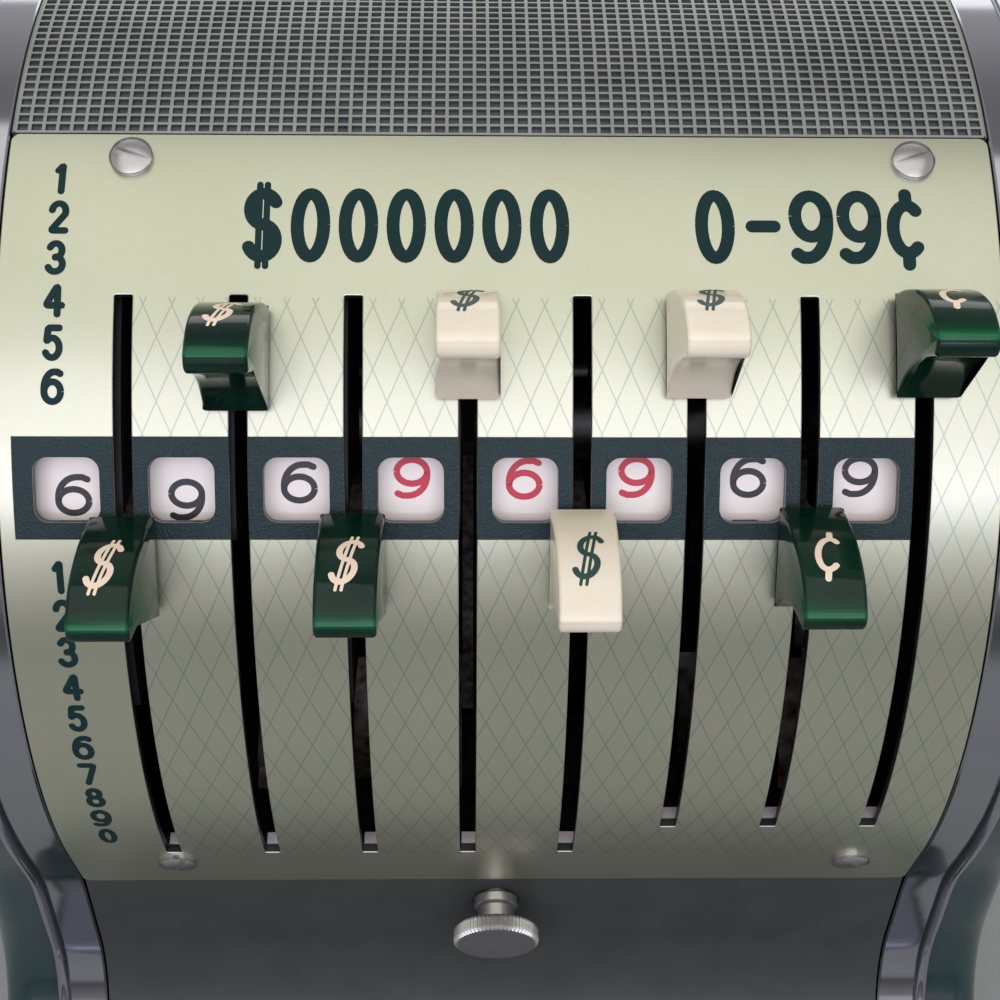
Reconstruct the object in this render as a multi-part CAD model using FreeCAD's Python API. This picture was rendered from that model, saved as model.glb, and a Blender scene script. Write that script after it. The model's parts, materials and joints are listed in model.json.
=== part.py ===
import FreeCAD, Part
import os
from math import cos, degrees, pi, radians, sin, tan

Vector = FreeCAD.Vector

# A lever-set check writer. Millimetres; X to the operator's right, Y to the rear, Z up.
# The origin lies on the table, below the main shaft, at the middle of the face plate's width.
# Angles about the main shaft are measured from the horizontal at the front, upwards.

# --- driving dimensions -------------------------------------------------------------------------
lever_pitch = 15.875
lever_count = 8
first_slot_x = -52.5
short_columns_from = 6         # columns 6 to 8 have no blank position

plate_radius = 86.5
plate_width = 139.7
plate_thickness = 1.6
plate_top_angle = 75.1
flat_angle = -8.0              # below this angle the plate runs straight down
flat_length = 13.0
seam_gap = 0.4

slot_width = 2.54
slot_top_angle = 58.6
window_size = 9.13
window_corner = 2.0
window_angle = 40.6
window_offset_x = -7.9         # window centre from its own slot

top_lever_angle = 57.5         # highest lever position, digit 9
digit_step = 6.4
slot_end_margin = 1.1          # degrees of slot beyond the lowest lever position
stop_height = 1.7              # bumper behind the lower end of each slot
stop_right = 2.2
rest_lever_angles = [37.1, 56.1, 37.4, 57.2, 37.8, 57.3, 38.0, 57.4]

stem_length = 2.2              # lever blade along the slot
blade_thickness = 2.0
stem_reach = 6.0               # into the finger tab, above the face plate
tab_foot_width, tab_lip_width = 9.0, 8.2
tab_clearance = 1.6
tab_height = 20.4
# finger tab's side outline: along the slot from the stem, and height above the face plate
tab_top = [(-1.9, tab_clearance), (-1.2, 6.3), (0.6, 12.5), (3.2, 17.5), (6.4, tab_height - 0.1)]
tab_nose = (8.35, tab_height - 0.65)
tab_front = [(8.75, 18.2), (8.5, 12.5), (9.7, 6.4), (12.4, tab_clearance)]
tab_round = 0.5

shaft_radius = 6.0
running_clearance = 0.05
seat_gap = 0.2
moving_gap = 0.5

drum_gap = 2.4                 # face plate to number segments
segment_wall = 2.5
segment_width = 12.5
segment_web_inner = 58.0
segment_lead = 21.0            # segment below the lever, in degrees
segment_tail = 4.5             # and beyond its last number
hub_radius = 9.0
hub_half = 3.0
hub_rise = 2.0                 # collars between the hubs, above the shaft
blade_root_half = 6.0
neck_half = 3.5
neck_length = 5.0
neck_drop = 1.0                # stem's root below the number segments' face
spoke_root_half, spoke_tip_half = 5.0, 4.0
spoke_reach = 50.0
index_spoke_inset, type_spoke_inset = 8.0, 10.0        # degrees inside the first and last step
index_radius = 60.0
index_rim = 12.0
index_margin = 5.0             # degrees of index sector beyond the end notches
detent_angle = 170.0
notch_radius = 1.8
notch_rise = 0.4
comb_bar_lead = 20.0           # degrees from the detent noses to the comb's bar
comb_bar_half_angle = 2.0
comb_bar_inner = 8.0           # above the index sector
comb_bar_depth = 5.0
finger_half_width = 1.5
finger_nose_radius = 1.4
finger_thickness = 0.8
type_radius = 70.0
type_root_radius = 66.0
type_angle = -90.0
type_face_angle = 4.6
type_width = 5.0
type_body_inner = 46.0
carrier_inner, carrier_outer = 44.0, 56.0
carrier_margin = 4.0           # degrees beyond the first and last type

apron_angle = 7.4
apron_length = 18.0
apron_thickness = 3.0
apron_recess = 0.5
waist_radius = 30.0
flare_radius = 25.0
lip_angle = 70.0
rear_angle = 165.0
cover_split_angle = 150.0
rail_thickness = 1.6
rail_lift = 1.0                # lowest rail above the base
rear_rail_length = 20.0
upper_rail_turn = (-6.0, 4.0)   # degrees about the face plate's upper edge
seam_rail_turn = (-3.0, 8.0)    # degrees about the seam behind the grid
plate_corner = 2.5
cover_rim = 3.0                # side cover's walls along its outline

well_depth = 0.6               # in the cover over the top, inside its plain border
rib_width = 0.5                # main ribs across the well
rib_step_x = 0.75 * lever_pitch
rib_step_arc = 0.686 * lever_pitch
rib_start = 0.45               # first cross rib above the seam
rib_drop = 0.05                # ribs below the plain border
well_border = 1.6
well_front = 0.3               # border along the seam
well_end_margin = 2.0          # degrees of plain border at the rear

frame_thickness = 3.2
rod_inset = 10.5               # tie rods inside the housing outline
top_rod_lead = 10.0            # degrees ahead of the seam
rear_rod_inset, rear_rod_z = 12.0, 64.0
front_rod_inset, front_rod_drop = 5.0, 32.2
rear_rod_radius, front_rod_radius = 4.0, 3.5
cheek_band = 6.4
cheek_depth = 4.0
bead_width = 2.4
bead_rise = 1.2
bead_round = 1.14
side_cover_inset = 1.2
side_cover_bulge = 11.0
side_cover_wall = 2.2
side_cover_round = 6.0

foot_height = 6.0
foot_radius = 9.0
base_top = 30.0
base_wall = 6.0
base_front = -136.0
base_rear = 113.0
base_half_width = 90.0
base_corner = 14.0
base_edge_round = 3.0
foot_inset_x, foot_inset_y = 20.0, 22.0
foot_taper = 1.5
ledge_inner, ledge_outer = 47.0, 70.0
ledge_half_depth = 32.0
ledge_rise = 3.6
post_inner = 64.0
bridge_half_depth = 12.0       # cross bar over the middle foot
crank_well = (-7.0, 12.0, -16.0, 22.0)     # x limits, y limits from the handle's shaft
table_thickness = 1.0
table_inset = 3.0              # behind the rounded front of the base
throat_height = 7.0
throat_rear = 34.0
throat_end_gap = 2.0           # behind the paper stop
guide_wall = 1.0
guide_lead = 3.0               # behind the apron's lip
guide_window_half = 25.0
guide_window_left, guide_window_right = 10.0, 4.0      # beyond the end slots

screw_head_radius = 3.18
screw_head_height = 1.2
screw_shank_radius = 1.7
screw_slot_width = 1.0
screw_slot_depth = 0.6
screw_crown = 0.6              # share of the head's height that is rounded
high_screw_turn = 2.75         # degrees inside the face plate's upper edge
low_screw_drop = 3.0           # below the start of the plate's straight part
rear_screw_x = 58.0
rear_screw_turn = 4.0          # degrees behind the seam
rear_screw_rise = 12.0         # lower pair above the base
side_screw_places = [(-62.0, 118.0), (40.0, 152.0), (84.0, 62.0)]      # y, z

thumb_drop = 6.0               # thumb screw below the face plate
thumb_angle = -4.0
thumb_shank_radius = 2.5
thumb_flange_radius, thumb_flange_height = 3.75, 2.0
thumb_neck_radius, thumb_neck_length = 3.5, 3.5
thumb_head_radius, thumb_head_height = 7.3, 2.8
thumb_head_round = 0.5
knurl_radius = 0.4
knurl_count = 24

platen_width = 10.0
platen_left = -61.0
platen_right = 62.0
platen_stand = 1.0             # platen above the paper table
platen_gap = 2.0               # paper space below the type
platen_lift = 1.6

handle_y = 76.0
handle_z = 40.0
handle_shaft_radius = 5.0
handle_swing = 50.0
handle_lean = 8.0
handle_length = 150.0
handle_arm_thickness = 7.0
handle_arm_gap = 8.0           # side cover to arm
grip_length = 72.0
grip_radius = 10.0
grip_profile = [(0.7, 0.0), (1.0, 0.35), (0.92, 0.7), (0.6, 0.97)]      # shares of radius and length
grip_crown = 0.35
crank_radius = 16.0
crank_pin_radius = 2.5
crank_thickness = 4.0
crank_x = 4.5
crank_root_radius, crank_tip_radius = 8.0, 4.0
crank_root_half = 6.0
arm_root_half, arm_tip_half = 10.0, 5.5
boss_radius = 13.0
boss_rise = 2.0                # boss beyond the arm
shaft_stand = 3.0              # shaft end beyond the arm
spring_wire = 1.6
spring_turns = 6
spring_start_x = 25.0
wedge_height = 17.0
wedge_half_width = 56.0
wedge_gap = 0.4                # wedge above the base's ledges
wedge_overrun = 2.0
pull_half_width = 4.0
pull_height = 5.0
fork_half_depth = 8.0

roller_radius = 8.0
roller_pin_radius = 3.0
roller_angle = -40.0
roller_left, roller_right = 9.0, 3.0                   # beyond the end slots

# --- sizes that follow --------------------------------------------------------------------------
plate_half = plate_width / 2
axis_height = base_top + table_thickness + platen_stand + platen_gap + type_radius
segment_radius = plate_radius - plate_thickness - drum_gap
frame_outer = plate_half + seat_gap
frame_inner = frame_outer - frame_thickness
cheek_inner = frame_outer + seat_gap / 2
cheek_outer = cheek_inner + cheek_band
bead_outer = cheek_outer + bead_width
cover_outer = bead_outer + side_cover_bulge
handle_arm_x = cover_outer + handle_arm_gap
slot_xs = [first_slot_x + lever_pitch * column for column in range(lever_count)]
waist_turn = apron_angle - flat_angle
waist_trim = waist_radius * tan(radians(waist_turn / 2))
table_top = base_top + table_thickness
throat_top = table_top + throat_height
platen_top = table_top + platen_stand
wedge_travel = 2 * crank_radius * sin(radians(handle_swing / 2))
wedge_slope = platen_lift / wedge_travel
wedge_floor = foot_height + ledge_rise + wedge_gap
axis = Vector(0, 0, axis_height)


def lowest_angle(column):
    """Lever angle at the bottom of its travel; the short columns stop one step earlier."""
    steps = lever_count + 1 if column + 1 >= short_columns_from else lever_count + 2
    return top_lever_angle - digit_step * steps


# --- shape helpers ------------------------------------------------------------------------------
def outward(angle):
    return Vector(0, -cos(radians(angle)), sin(radians(angle)))


def downward(angle):
    return Vector(0, -sin(radians(angle)), -cos(radians(angle)))


def polar(radius, angle):
    return axis + outward(angle) * radius


def line(start, end):
    return Part.makeLine(start, end)


def arc(centre, radius, start, end, side=1):
    """Arc about an X-parallel axis; side is -1 where the surface is hollow towards the front."""
    points = [centre + outward(a) * radius * side for a in (start, (start + end) / 2, end)]
    return Part.Arc(*points).toShape()


def prism(edges, x0, x1):
    face = Part.Face(Part.Wire(edges))
    face.translate(Vector(x0, 0, 0))
    return face.extrude(Vector(x1 - x0, 0, 0))


def polygon(points, x0, x1):
    closed = points + points[:1]
    return prism([line(a, b) for a, b in zip(closed, closed[1:])], x0, x1)


def ring_sector(inner, outer, start, end, x0, x1):
    edges = [arc(axis, outer, start, end), line(polar(outer, end), polar(inner, end)),
             arc(axis, inner, end, start), line(polar(inner, start), polar(outer, start))]
    return prism(edges, x0, x1)


def box(x0, x1, y0, y1, z0, z1):
    return Part.makeBox(x1 - x0, y1 - y0, z1 - z0, Vector(x0, y0, z0))


def rod(radius, x0, x1, centre):
    return Part.makeCylinder(radius, x1 - x0, Vector(x0, centre.y, centre.z), Vector(1, 0, 0))


def spoke(angle, inner, outer, inner_half, outer_half, x0, x1):
    across = downward(angle)
    corners = [polar(inner, angle) + across * inner_half, polar(outer, angle) + across * outer_half,
               polar(outer, angle) - across * outer_half, polar(inner, angle) - across * inner_half]
    return polygon(corners, x0, x1)


def point_along(shape, position, direction):
    """Turn a shape built along +Z so that it points along direction from position."""
    shape = shape.copy()
    shape.Placement = FreeCAD.Placement(position, FreeCAD.Rotation(Vector(0, 0, 1), direction))
    return shape


def fuse(shapes):
    return shapes[0].multiFuse(shapes[1:]).removeSplitter()


# --- housing outline ----------------------------------------------------------------------------
flat_start = axis + outward(flat_angle) * plate_radius
plate_end = flat_start + downward(flat_angle) * flat_length
waist_start = plate_end - downward(flat_angle) * waist_trim
waist_centre = waist_start + outward(flat_angle) * waist_radius
flare_start = plate_end + downward(apron_angle) * apron_length
flare_centre = flare_start + outward(apron_angle) * flare_radius


def rear_foot(offset, z):
    start = polar(plate_radius + offset, rear_angle)
    down_back = downward(rear_angle) * -1
    return start + down_back * ((z - start.z) / down_back.z)


def housing_edges(offset, foot_z):
    """The side outline from the front lip over the top to the rear foot, moved out by offset."""
    hollow = waist_radius - offset
    flare = flare_radius - offset
    top = plate_radius + offset
    return [
        arc(flare_centre, flare, lip_angle, apron_angle, -1),
        line(flare_centre - outward(apron_angle) * flare, waist_centre - outward(apron_angle) * hollow),
        arc(waist_centre, hollow, apron_angle, flat_angle, -1),
        line(waist_centre - outward(flat_angle) * hollow, polar(top, flat_angle)),
        arc(axis, top, flat_angle, rear_angle),
        line(polar(top, rear_angle), rear_foot(offset, foot_z))]


def lip(offset):
    return flare_centre - outward(lip_angle) * (flare_radius - offset)


def housing_strip(outer, inner, x0, x1, foot_z):
    ends = [line(lip(outer), lip(inner)), line(rear_foot(outer, foot_z), rear_foot(inner, foot_z))]
    edges = housing_edges(outer, foot_z) + housing_edges(inner, foot_z) + ends
    return prism(Part.__sortEdges__(edges), x0, x1)


def housing_side(offset, x0, x1, foot_z):
    """The whole side area inside the outline, down to the base."""
    front = lip(offset)
    corners = [front, Vector(0, front.y, foot_z), rear_foot(offset, foot_z)]
    closing = [line(a, b) for a, b in zip(corners, corners[1:])]
    return prism(Part.__sortEdges__(housing_edges(offset, foot_z) + closing), x0, x1)


def throat(margin):
    """The space that the paper passes through, from side to side, with a margin round it."""
    half = cover_outer + 1
    return box(-half, half, base_front, throat_rear + throat_end_gap + margin, 0, throat_top + margin)


def mirrored(shape):
    return shape.mirror(Vector(0, 0, 0), Vector(1, 0, 0))


# --- fasteners ----------------------------------------------------------------------------------
def pan_screw(shank_length):
    head = Part.makeCylinder(screw_head_radius, screw_head_height)
    rim = [edge for edge in head.Edges if abs(edge.CenterOfMass.z - screw_head_height) < 0.01]
    head = head.makeFillet(screw_head_height * screw_crown, rim)
    slot = box(-screw_head_radius, screw_head_radius, -screw_slot_width / 2, screw_slot_width / 2,
               screw_head_height - screw_slot_depth, screw_head_height)
    shank = Part.makeCylinder(screw_shank_radius, shank_length, Vector(0, 0, -shank_length))
    return head.fuse(shank).cut(slot)


def plate_screw_seats():
    """Position, direction and head turn of the four face plate screws, above and below the end slots."""
    low = flat_start + downward(flat_angle) * low_screw_drop
    high_angle = plate_top_angle - high_screw_turn
    high = polar(plate_radius, high_angle)
    ends = (slot_xs[0], slot_xs[-1])
    seats = [(high + Vector(x, 0, 0), outward(high_angle)) for x in ends]
    return seats + [(low + Vector(x, 0, 0), outward(flat_angle)) for x in ends]


def side_cover_seats():
    return [(Vector(side * cover_outer, y, z), Vector(side, 0, 0))
            for side in (-1, 1) for y, z in side_screw_places]


def pan_screws():
    rail = plate_thickness + rail_thickness
    heads = [point_along(pan_screw(rail), *seat) for seat in plate_screw_seats() + rear_screw_seats()]
    heads += [point_along(pan_screw(side_cover_wall), *seat) for seat in side_cover_seats()]
    return Part.makeCompound(heads)


def rear_screw_seats():
    """Two screws at each edge of the rear cover."""
    high_angle = cover_split_angle + rear_screw_turn
    spots = [(polar(plate_radius, high_angle), outward(high_angle)),
             (rear_foot(0, base_top + rear_screw_rise), outward(rear_angle))]
    return [(spot + Vector(side * rear_screw_x, 0, 0), normal)
            for spot, normal in spots for side in (-1, 1)]


def screw_holes(seats, depth):
    hole = Part.makeCylinder(screw_shank_radius + seat_gap, 2 * depth, Vector(0, 0, -depth))
    return [point_along(hole, *seat) for seat in seats]


# --- housing pieces -----------------------------------------------------------------------------
def face_plate():
    inner = plate_radius - plate_thickness
    step = outward(flat_angle) * -plate_thickness
    edges = [arc(axis, plate_radius, plate_top_angle, flat_angle), line(flat_start, plate_end),
             line(plate_end, plate_end + step), line(plate_end + step, flat_start + step),
             arc(axis, inner, flat_angle, plate_top_angle),
             line(polar(inner, plate_top_angle), polar(plate_radius, plate_top_angle))]
    plate = prism(edges, -plate_half, plate_half)
    corners = [edge for edge in plate.Edges if abs(edge.Length - plate_thickness) < 0.01]
    plate = plate.makeFillet(plate_corner, corners)
    cuts = screw_holes(plate_screw_seats(), 2 * plate_thickness)
    window = Part.makeBox(window_size, window_size, 4 * plate_thickness,
                          Vector(-window_size / 2, -window_size / 2, -2 * plate_thickness))
    upright = [edge for edge in window.Edges if edge.BoundBox.ZLength > 1]
    window = window.makeFillet(window_corner, upright)
    for column, x in enumerate(slot_xs):
        bottom = lowest_angle(column) - slot_end_margin
        cuts.append(ring_sector(inner - 2, plate_radius + 2, bottom, slot_top_angle,
                                x - slot_width / 2, x + slot_width / 2))
        centre = polar(plate_radius, window_angle) + Vector(x + window_offset_x, 0, 0)
        cuts.append(point_along(window, centre, outward(window_angle)))
    return plate.cut(cuts)


def slot_stops(gap=0.0):
    """The bumpers behind the slots' lower ends, where the levers come to rest; or the room they need."""
    outer = plate_radius - plate_thickness + gap
    stops = []
    for column, x in enumerate(slot_xs):
        top = lowest_angle(column) - slot_end_margin
        bottom = top - degrees((stop_height + gap) / plate_radius)
        stops.append(ring_sector(segment_radius + moving_gap - gap, outer, bottom, top,
                                 x - blade_thickness / 2 - gap, x + stop_right + gap))
    return Part.makeCompound(stops)


def rail_on(corner, along, length):
    """A flat rail behind a straight cover: from corner along the cover, over its full width."""
    back = Vector(1, 0, 0).cross(along) * rail_thickness
    return polygon([corner, corner + along * length, corner + along * length + back, corner + back],
                   -plate_half, plate_half)


def plate_rails():
    """The bars behind the covers that the cover screws go into."""
    outer = plate_radius - plate_thickness - seat_gap / 2
    inner = outer - rail_thickness
    rails = [ring_sector(inner, outer, edge + turn[0], edge + turn[1], -plate_half, plate_half)
             for edge, turn in ((plate_top_angle, upper_rail_turn), (cover_split_angle, seam_rail_turn))]
    rails.append(rail_on(axis + outward(flat_angle) * outer, downward(flat_angle), flat_length))
    rear_corner = rear_foot(outer - plate_radius, base_top + rail_lift)
    rails.append(rail_on(rear_corner, downward(rear_angle), rear_rail_length))
    holes = screw_holes(plate_screw_seats() + rear_screw_seats(), 3 * plate_thickness)
    return Part.makeCompound([rail.cut(holes + [slot_stops(seat_gap)]) for rail in rails])


def grid_cover():
    """The cover over the top: a plain border round a well that a net of ribs crosses."""
    inner = plate_radius - plate_thickness
    start = plate_top_angle + degrees(seam_gap / plate_radius)
    end = cover_split_angle - well_end_margin
    field_half = plate_half - well_border
    floor, crest = plate_radius - well_depth, plate_radius - rib_drop
    sheet = ring_sector(inner, plate_radius, start, cover_split_angle, -plate_half, plate_half)
    well_start = start + degrees(well_front / plate_radius)
    well = ring_sector(floor, plate_radius + 1, well_start, end, -field_half, field_half)
    root = floor - seat_gap
    columns = int(field_half / rib_step_x)
    ribs = [ring_sector(root, crest, start, end + 0.1, x - rib_width / 2, x + rib_width / 2)
            for x in [rib_step_x * column for column in range(-columns, columns + 1)]]
    first, step = start + degrees(rib_start / plate_radius), degrees(rib_step_arc / plate_radius)
    rib_angle = degrees(rib_width / 2 / plate_radius)
    rows = int((end - first) / step) + 1
    reach = field_half + 0.1
    ribs += [ring_sector(root, crest, angle - rib_angle, angle + rib_angle, -reach, reach)
             for angle in [first + step * row for row in range(rows)]]
    return fuse([sheet.cut(well)] + ribs)


def rear_cover():
    start = cover_split_angle + degrees(seam_gap / plate_radius)
    foot = base_top + seat_gap
    inner = -plate_thickness
    edges = [arc(axis, plate_radius, start, rear_angle),
             line(polar(plate_radius, rear_angle), rear_foot(0, foot)),
             line(rear_foot(0, foot), rear_foot(inner, foot)),
             line(rear_foot(inner, foot), polar(plate_radius + inner, rear_angle)),
             arc(axis, plate_radius + inner, rear_angle, start),
             line(polar(plate_radius + inner, start), polar(plate_radius, start))]
    return prism(edges, -plate_half, plate_half).cut(screw_holes(rear_screw_seats(), 2 * plate_thickness))


def thumb_screw_seat():
    """Where the thumb screw's axis meets the apron's front."""
    return plate_end + downward(apron_angle) * thumb_drop - outward(apron_angle) * apron_recess


def apron():
    top = plate_end + downward(apron_angle) * seam_gap
    outer = top - outward(apron_angle) * apron_recess
    inner = outer - outward(apron_angle) * apron_thickness
    bend = flare_radius + apron_recess
    back = bend + apron_thickness
    edges = [line(outer, flare_centre - outward(apron_angle) * bend),
             arc(flare_centre, bend, apron_angle, lip_angle, -1),
             line(flare_centre - outward(lip_angle) * bend, flare_centre - outward(lip_angle) * back),
             arc(flare_centre, back, lip_angle, apron_angle, -1),
             line(flare_centre - outward(apron_angle) * back, inner), line(inner, outer)]
    hole = post(thumb_shank_radius + seat_gap, -2 * apron_thickness, 4 * apron_thickness)
    spot_face = post(thumb_flange_radius + 2 * seat_gap, 0, apron_thickness)
    return prism(edges, -plate_half, plate_half).cut(
        [point_along(tool, thumb_screw_seat(), outward(thumb_angle)) for tool in (hole, spot_face)])


def post(radius, start, length):
    return Part.makeCylinder(radius, length, Vector(0, 0, start))


def thumb_screw():
    head_start = seat_gap + thumb_flange_height + thumb_neck_length
    head = post(thumb_head_radius, head_start, thumb_head_height)
    rims = [edge for edge in head.Edges if edge.Length > 2 * thumb_head_radius]
    head = head.makeFillet(thumb_head_round, rims)
    knurls = []
    for turn in range(knurl_count):
        angle = 2 * pi * turn / knurl_count
        groove = post(knurl_radius, head_start, thumb_head_height)
        groove.translate(Vector(cos(angle), sin(angle), 0) * thumb_head_radius)
        knurls.append(groove)
    solid = fuse([post(thumb_flange_radius, seat_gap, thumb_flange_height),
                  post(thumb_neck_radius, seat_gap, head_start - seat_gap), head.cut(knurls),
                  post(thumb_shank_radius, -apron_thickness, apron_thickness + seat_gap)])
    return point_along(solid, thumb_screw_seat(), outward(thumb_angle))


def cheek():
    """Bright trim on the right: a band level with the face plate and a round bead outside it."""
    foot = base_top + seat_gap
    band = housing_strip(0, -cheek_depth, cheek_inner, cheek_outer, foot)
    bead = housing_strip(bead_rise, -cheek_depth, cheek_outer, bead_outer, foot)
    crest = [edge for edge in bead.Edges if edge.BoundBox.XLength < 0.01
             and abs(offset_of(edge) - bead_rise) < 0.05]
    bead = bead.makeFillet(bead_round, crest)
    return band.fuse(bead)


def offset_of(edge):
    """How far an edge of the side outline lies outside the face plate's own outline."""
    middle = edge.valueAt((edge.FirstParameter + edge.LastParameter) / 2)
    outline = Part.Wire(housing_edges(0, base_top + seat_gap))
    flat = Vector(0, middle.y, middle.z)
    distance = outline.distToShape(Part.Vertex(flat))[0]
    inside = (flat - axis).Length < (outline.distToShape(Part.Vertex(flat))[1][0][0] - axis).Length
    return -distance if inside else distance


def side_cover():
    foot = base_top + seat_gap
    body = housing_side(-side_cover_inset, bead_outer + seat_gap / 2, cover_outer, foot)
    rim = [edge for edge in body.Edges if edge.BoundBox.XLength < 0.01
           and abs(edge.CenterOfMass.x - cover_outer) < 0.01 and edge.CenterOfMass.z > throat_top + 1]
    body = body.makeFillet(side_cover_round, rim)
    inset = side_cover_inset + cover_rim
    hollow = housing_side(-inset, bead_outer - 1, cover_outer - side_cover_wall, foot + cover_rim)
    return body.cut([hollow.cut(throat(cover_rim)), throat(0)])


def side_frame():
    """Right-hand inner plate: it carries every shaft and bridges the paper throat."""
    inset = apron_recess + apron_thickness + seat_gap
    plate = housing_side(-inset, frame_inner, frame_outer, base_top).cut(throat(0))
    bores = [rod(shaft_radius, frame_inner, frame_outer, axis),
             rod(handle_shaft_radius + running_clearance, frame_inner, frame_outer, handle_axis()),
             rod(roller_pin_radius + running_clearance, frame_inner, frame_outer, roller_axis())]
    bores += [rod(radius, frame_inner, frame_outer, centre) for radius, centre in tie_rod_places()]
    return plate.cut(bores)


def handle_axis():
    return Vector(0, handle_y, handle_z)


def roller_axis():
    return polar(type_radius + moving_gap + roller_radius, roller_angle)


def tie_rod_places():
    """Radius and centre of the three bars that join the side frames."""
    front = plate_end + downward(apron_angle) * front_rod_drop - outward(apron_angle) * front_rod_inset
    return [(rear_rod_radius, polar(plate_radius - rod_inset, cover_split_angle - top_rod_lead)),
            (rear_rod_radius, rear_foot(-rear_rod_inset, rear_rod_z)), (front_rod_radius, front)]


def tie_rods():
    return Part.makeCompound([rod(radius, -frame_outer, frame_outer, centre)
                              for radius, centre in tie_rod_places()])


def main_shaft():
    """The shaft with its collars, which keep the lever hubs apart."""
    shaft = rod(shaft_radius, -frame_outer, frame_outer, axis)
    hub = hub_half + moving_gap / 2
    gaps = [(a + hub, b - hub) for a, b in zip(slot_xs, slot_xs[1:])]
    gaps.append((-frame_inner + seat_gap, slot_xs[0] - hub))
    gaps.append((slot_xs[-1] + hub, frame_inner - seat_gap))
    return fuse([shaft] + [rod(shaft_radius + hub_rise, a, b, axis) for a, b in gaps])


def detent_comb():
    """A cross bar with one spring finger for each lever, its nose over the notched sector."""
    bar_angle = detent_angle - comb_bar_lead
    bar_inner = index_radius + comb_bar_inner
    bar = ring_sector(bar_inner, bar_inner + comb_bar_depth, bar_angle - comb_bar_half_angle,
                      bar_angle + comb_bar_half_angle, -frame_inner + seat_gap, frame_inner - seat_gap)
    root = polar(bar_inner + 1, bar_angle + 1)
    tip = polar(index_radius + moving_gap + finger_nose_radius, detent_angle)
    across = Vector(1, 0, 0).cross((tip - root).normalize()) * (finger_thickness / 2)
    fingers = []
    for x in slot_xs:
        left, right = x - finger_half_width, x + finger_half_width
        fingers.append(polygon([root - across, tip - across, tip + across, root + across], left, right))
        fingers.append(rod(finger_nose_radius, left, right, tip))
    return fuse([bar] + fingers)


def throat_guide():
    """Paper ceiling with an opening for the type, and a stop bent down at the rear."""
    half = frame_inner - seat_gap
    front = lip(-apron_recess - apron_thickness).y + guide_lead
    sheet = box(-half, half, front, throat_rear, throat_top - guide_wall, throat_top)
    stop = box(-half, half, throat_rear - guide_wall, throat_rear, table_top + seat_gap, throat_top)
    window = box(slot_xs[0] - guide_window_left, slot_xs[-1] + guide_window_right, -guide_window_half,
                 guide_window_half, throat_top - 2 * guide_wall, throat_top + guide_wall)
    return fuse([sheet, stop]).cut(window)


# --- base ---------------------------------------------------------------------------------------
def platen_slot(z0, z1):
    gap = 2 * seat_gap
    half = platen_width / 2 + gap
    return box(platen_left - gap, platen_right + gap, -half, half, z0, z1)


def base():
    body = box(-base_half_width, base_half_width, base_front, base_rear, foot_height, base_top)
    body = body.makeFillet(base_corner, [e for e in body.Edges if e.BoundBox.ZLength > 1])
    top_rim = [e for e in body.Edges if e.BoundBox.ZMin > base_top - 0.01]
    body = body.makeFillet(base_edge_round, top_rim)
    hollow = box(-base_half_width + base_wall, base_half_width - base_wall, base_front + base_wall,
                 base_rear - base_wall, foot_height - 1, base_top - base_wall)
    hollow = hollow.makeFillet(base_corner - base_wall, [e for e in hollow.Edges if e.BoundBox.ZLength > 1])
    body = body.cut(hollow)
    left, right, front, rear = crank_well
    body = body.cut([platen_slot(foot_height, base_top + 1),
                     box(left, right, handle_y + front, handle_y + rear, foot_height, base_top + 1)])
    under = base_top - base_wall
    ledge_top = foot_height + ledge_rise
    supports = [box(-ledge_inner, ledge_inner, -bridge_half_depth, bridge_half_depth, foot_height, ledge_top)]
    for start, top in ((ledge_inner, ledge_top), (post_inner, under)):
        support = box(start, ledge_outer, -ledge_half_depth, ledge_half_depth, foot_height, top)
        supports += [support, mirrored(support)]
    pads = [Part.makeCylinder(foot_radius, under - foot_height, Vector(x, y, foot_height))
            for x, y in corner_foot_places()]
    return fuse([body] + supports + pads)


def corner_foot_places():
    return [(x, y) for x in (-base_half_width + foot_inset_x, base_half_width - foot_inset_x)
            for y in (base_front + foot_inset_y, base_rear - foot_inset_y)]


def rubber_feet():
    """A foot at each corner and one in the middle, under the platen."""
    foot = Part.makeCone(foot_radius - foot_taper, foot_radius, foot_height)
    return Part.makeCompound([foot.translated(Vector(x, y, 0)) for x, y in corner_foot_places() + [(0, 0)]])


def paper_table():
    front = base_front + base_edge_round + table_inset
    sheet = box(-plate_half, plate_half, front, throat_rear, base_top, table_top)
    return sheet.cut(platen_slot(base_top - 1, table_top + 1))


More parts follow.
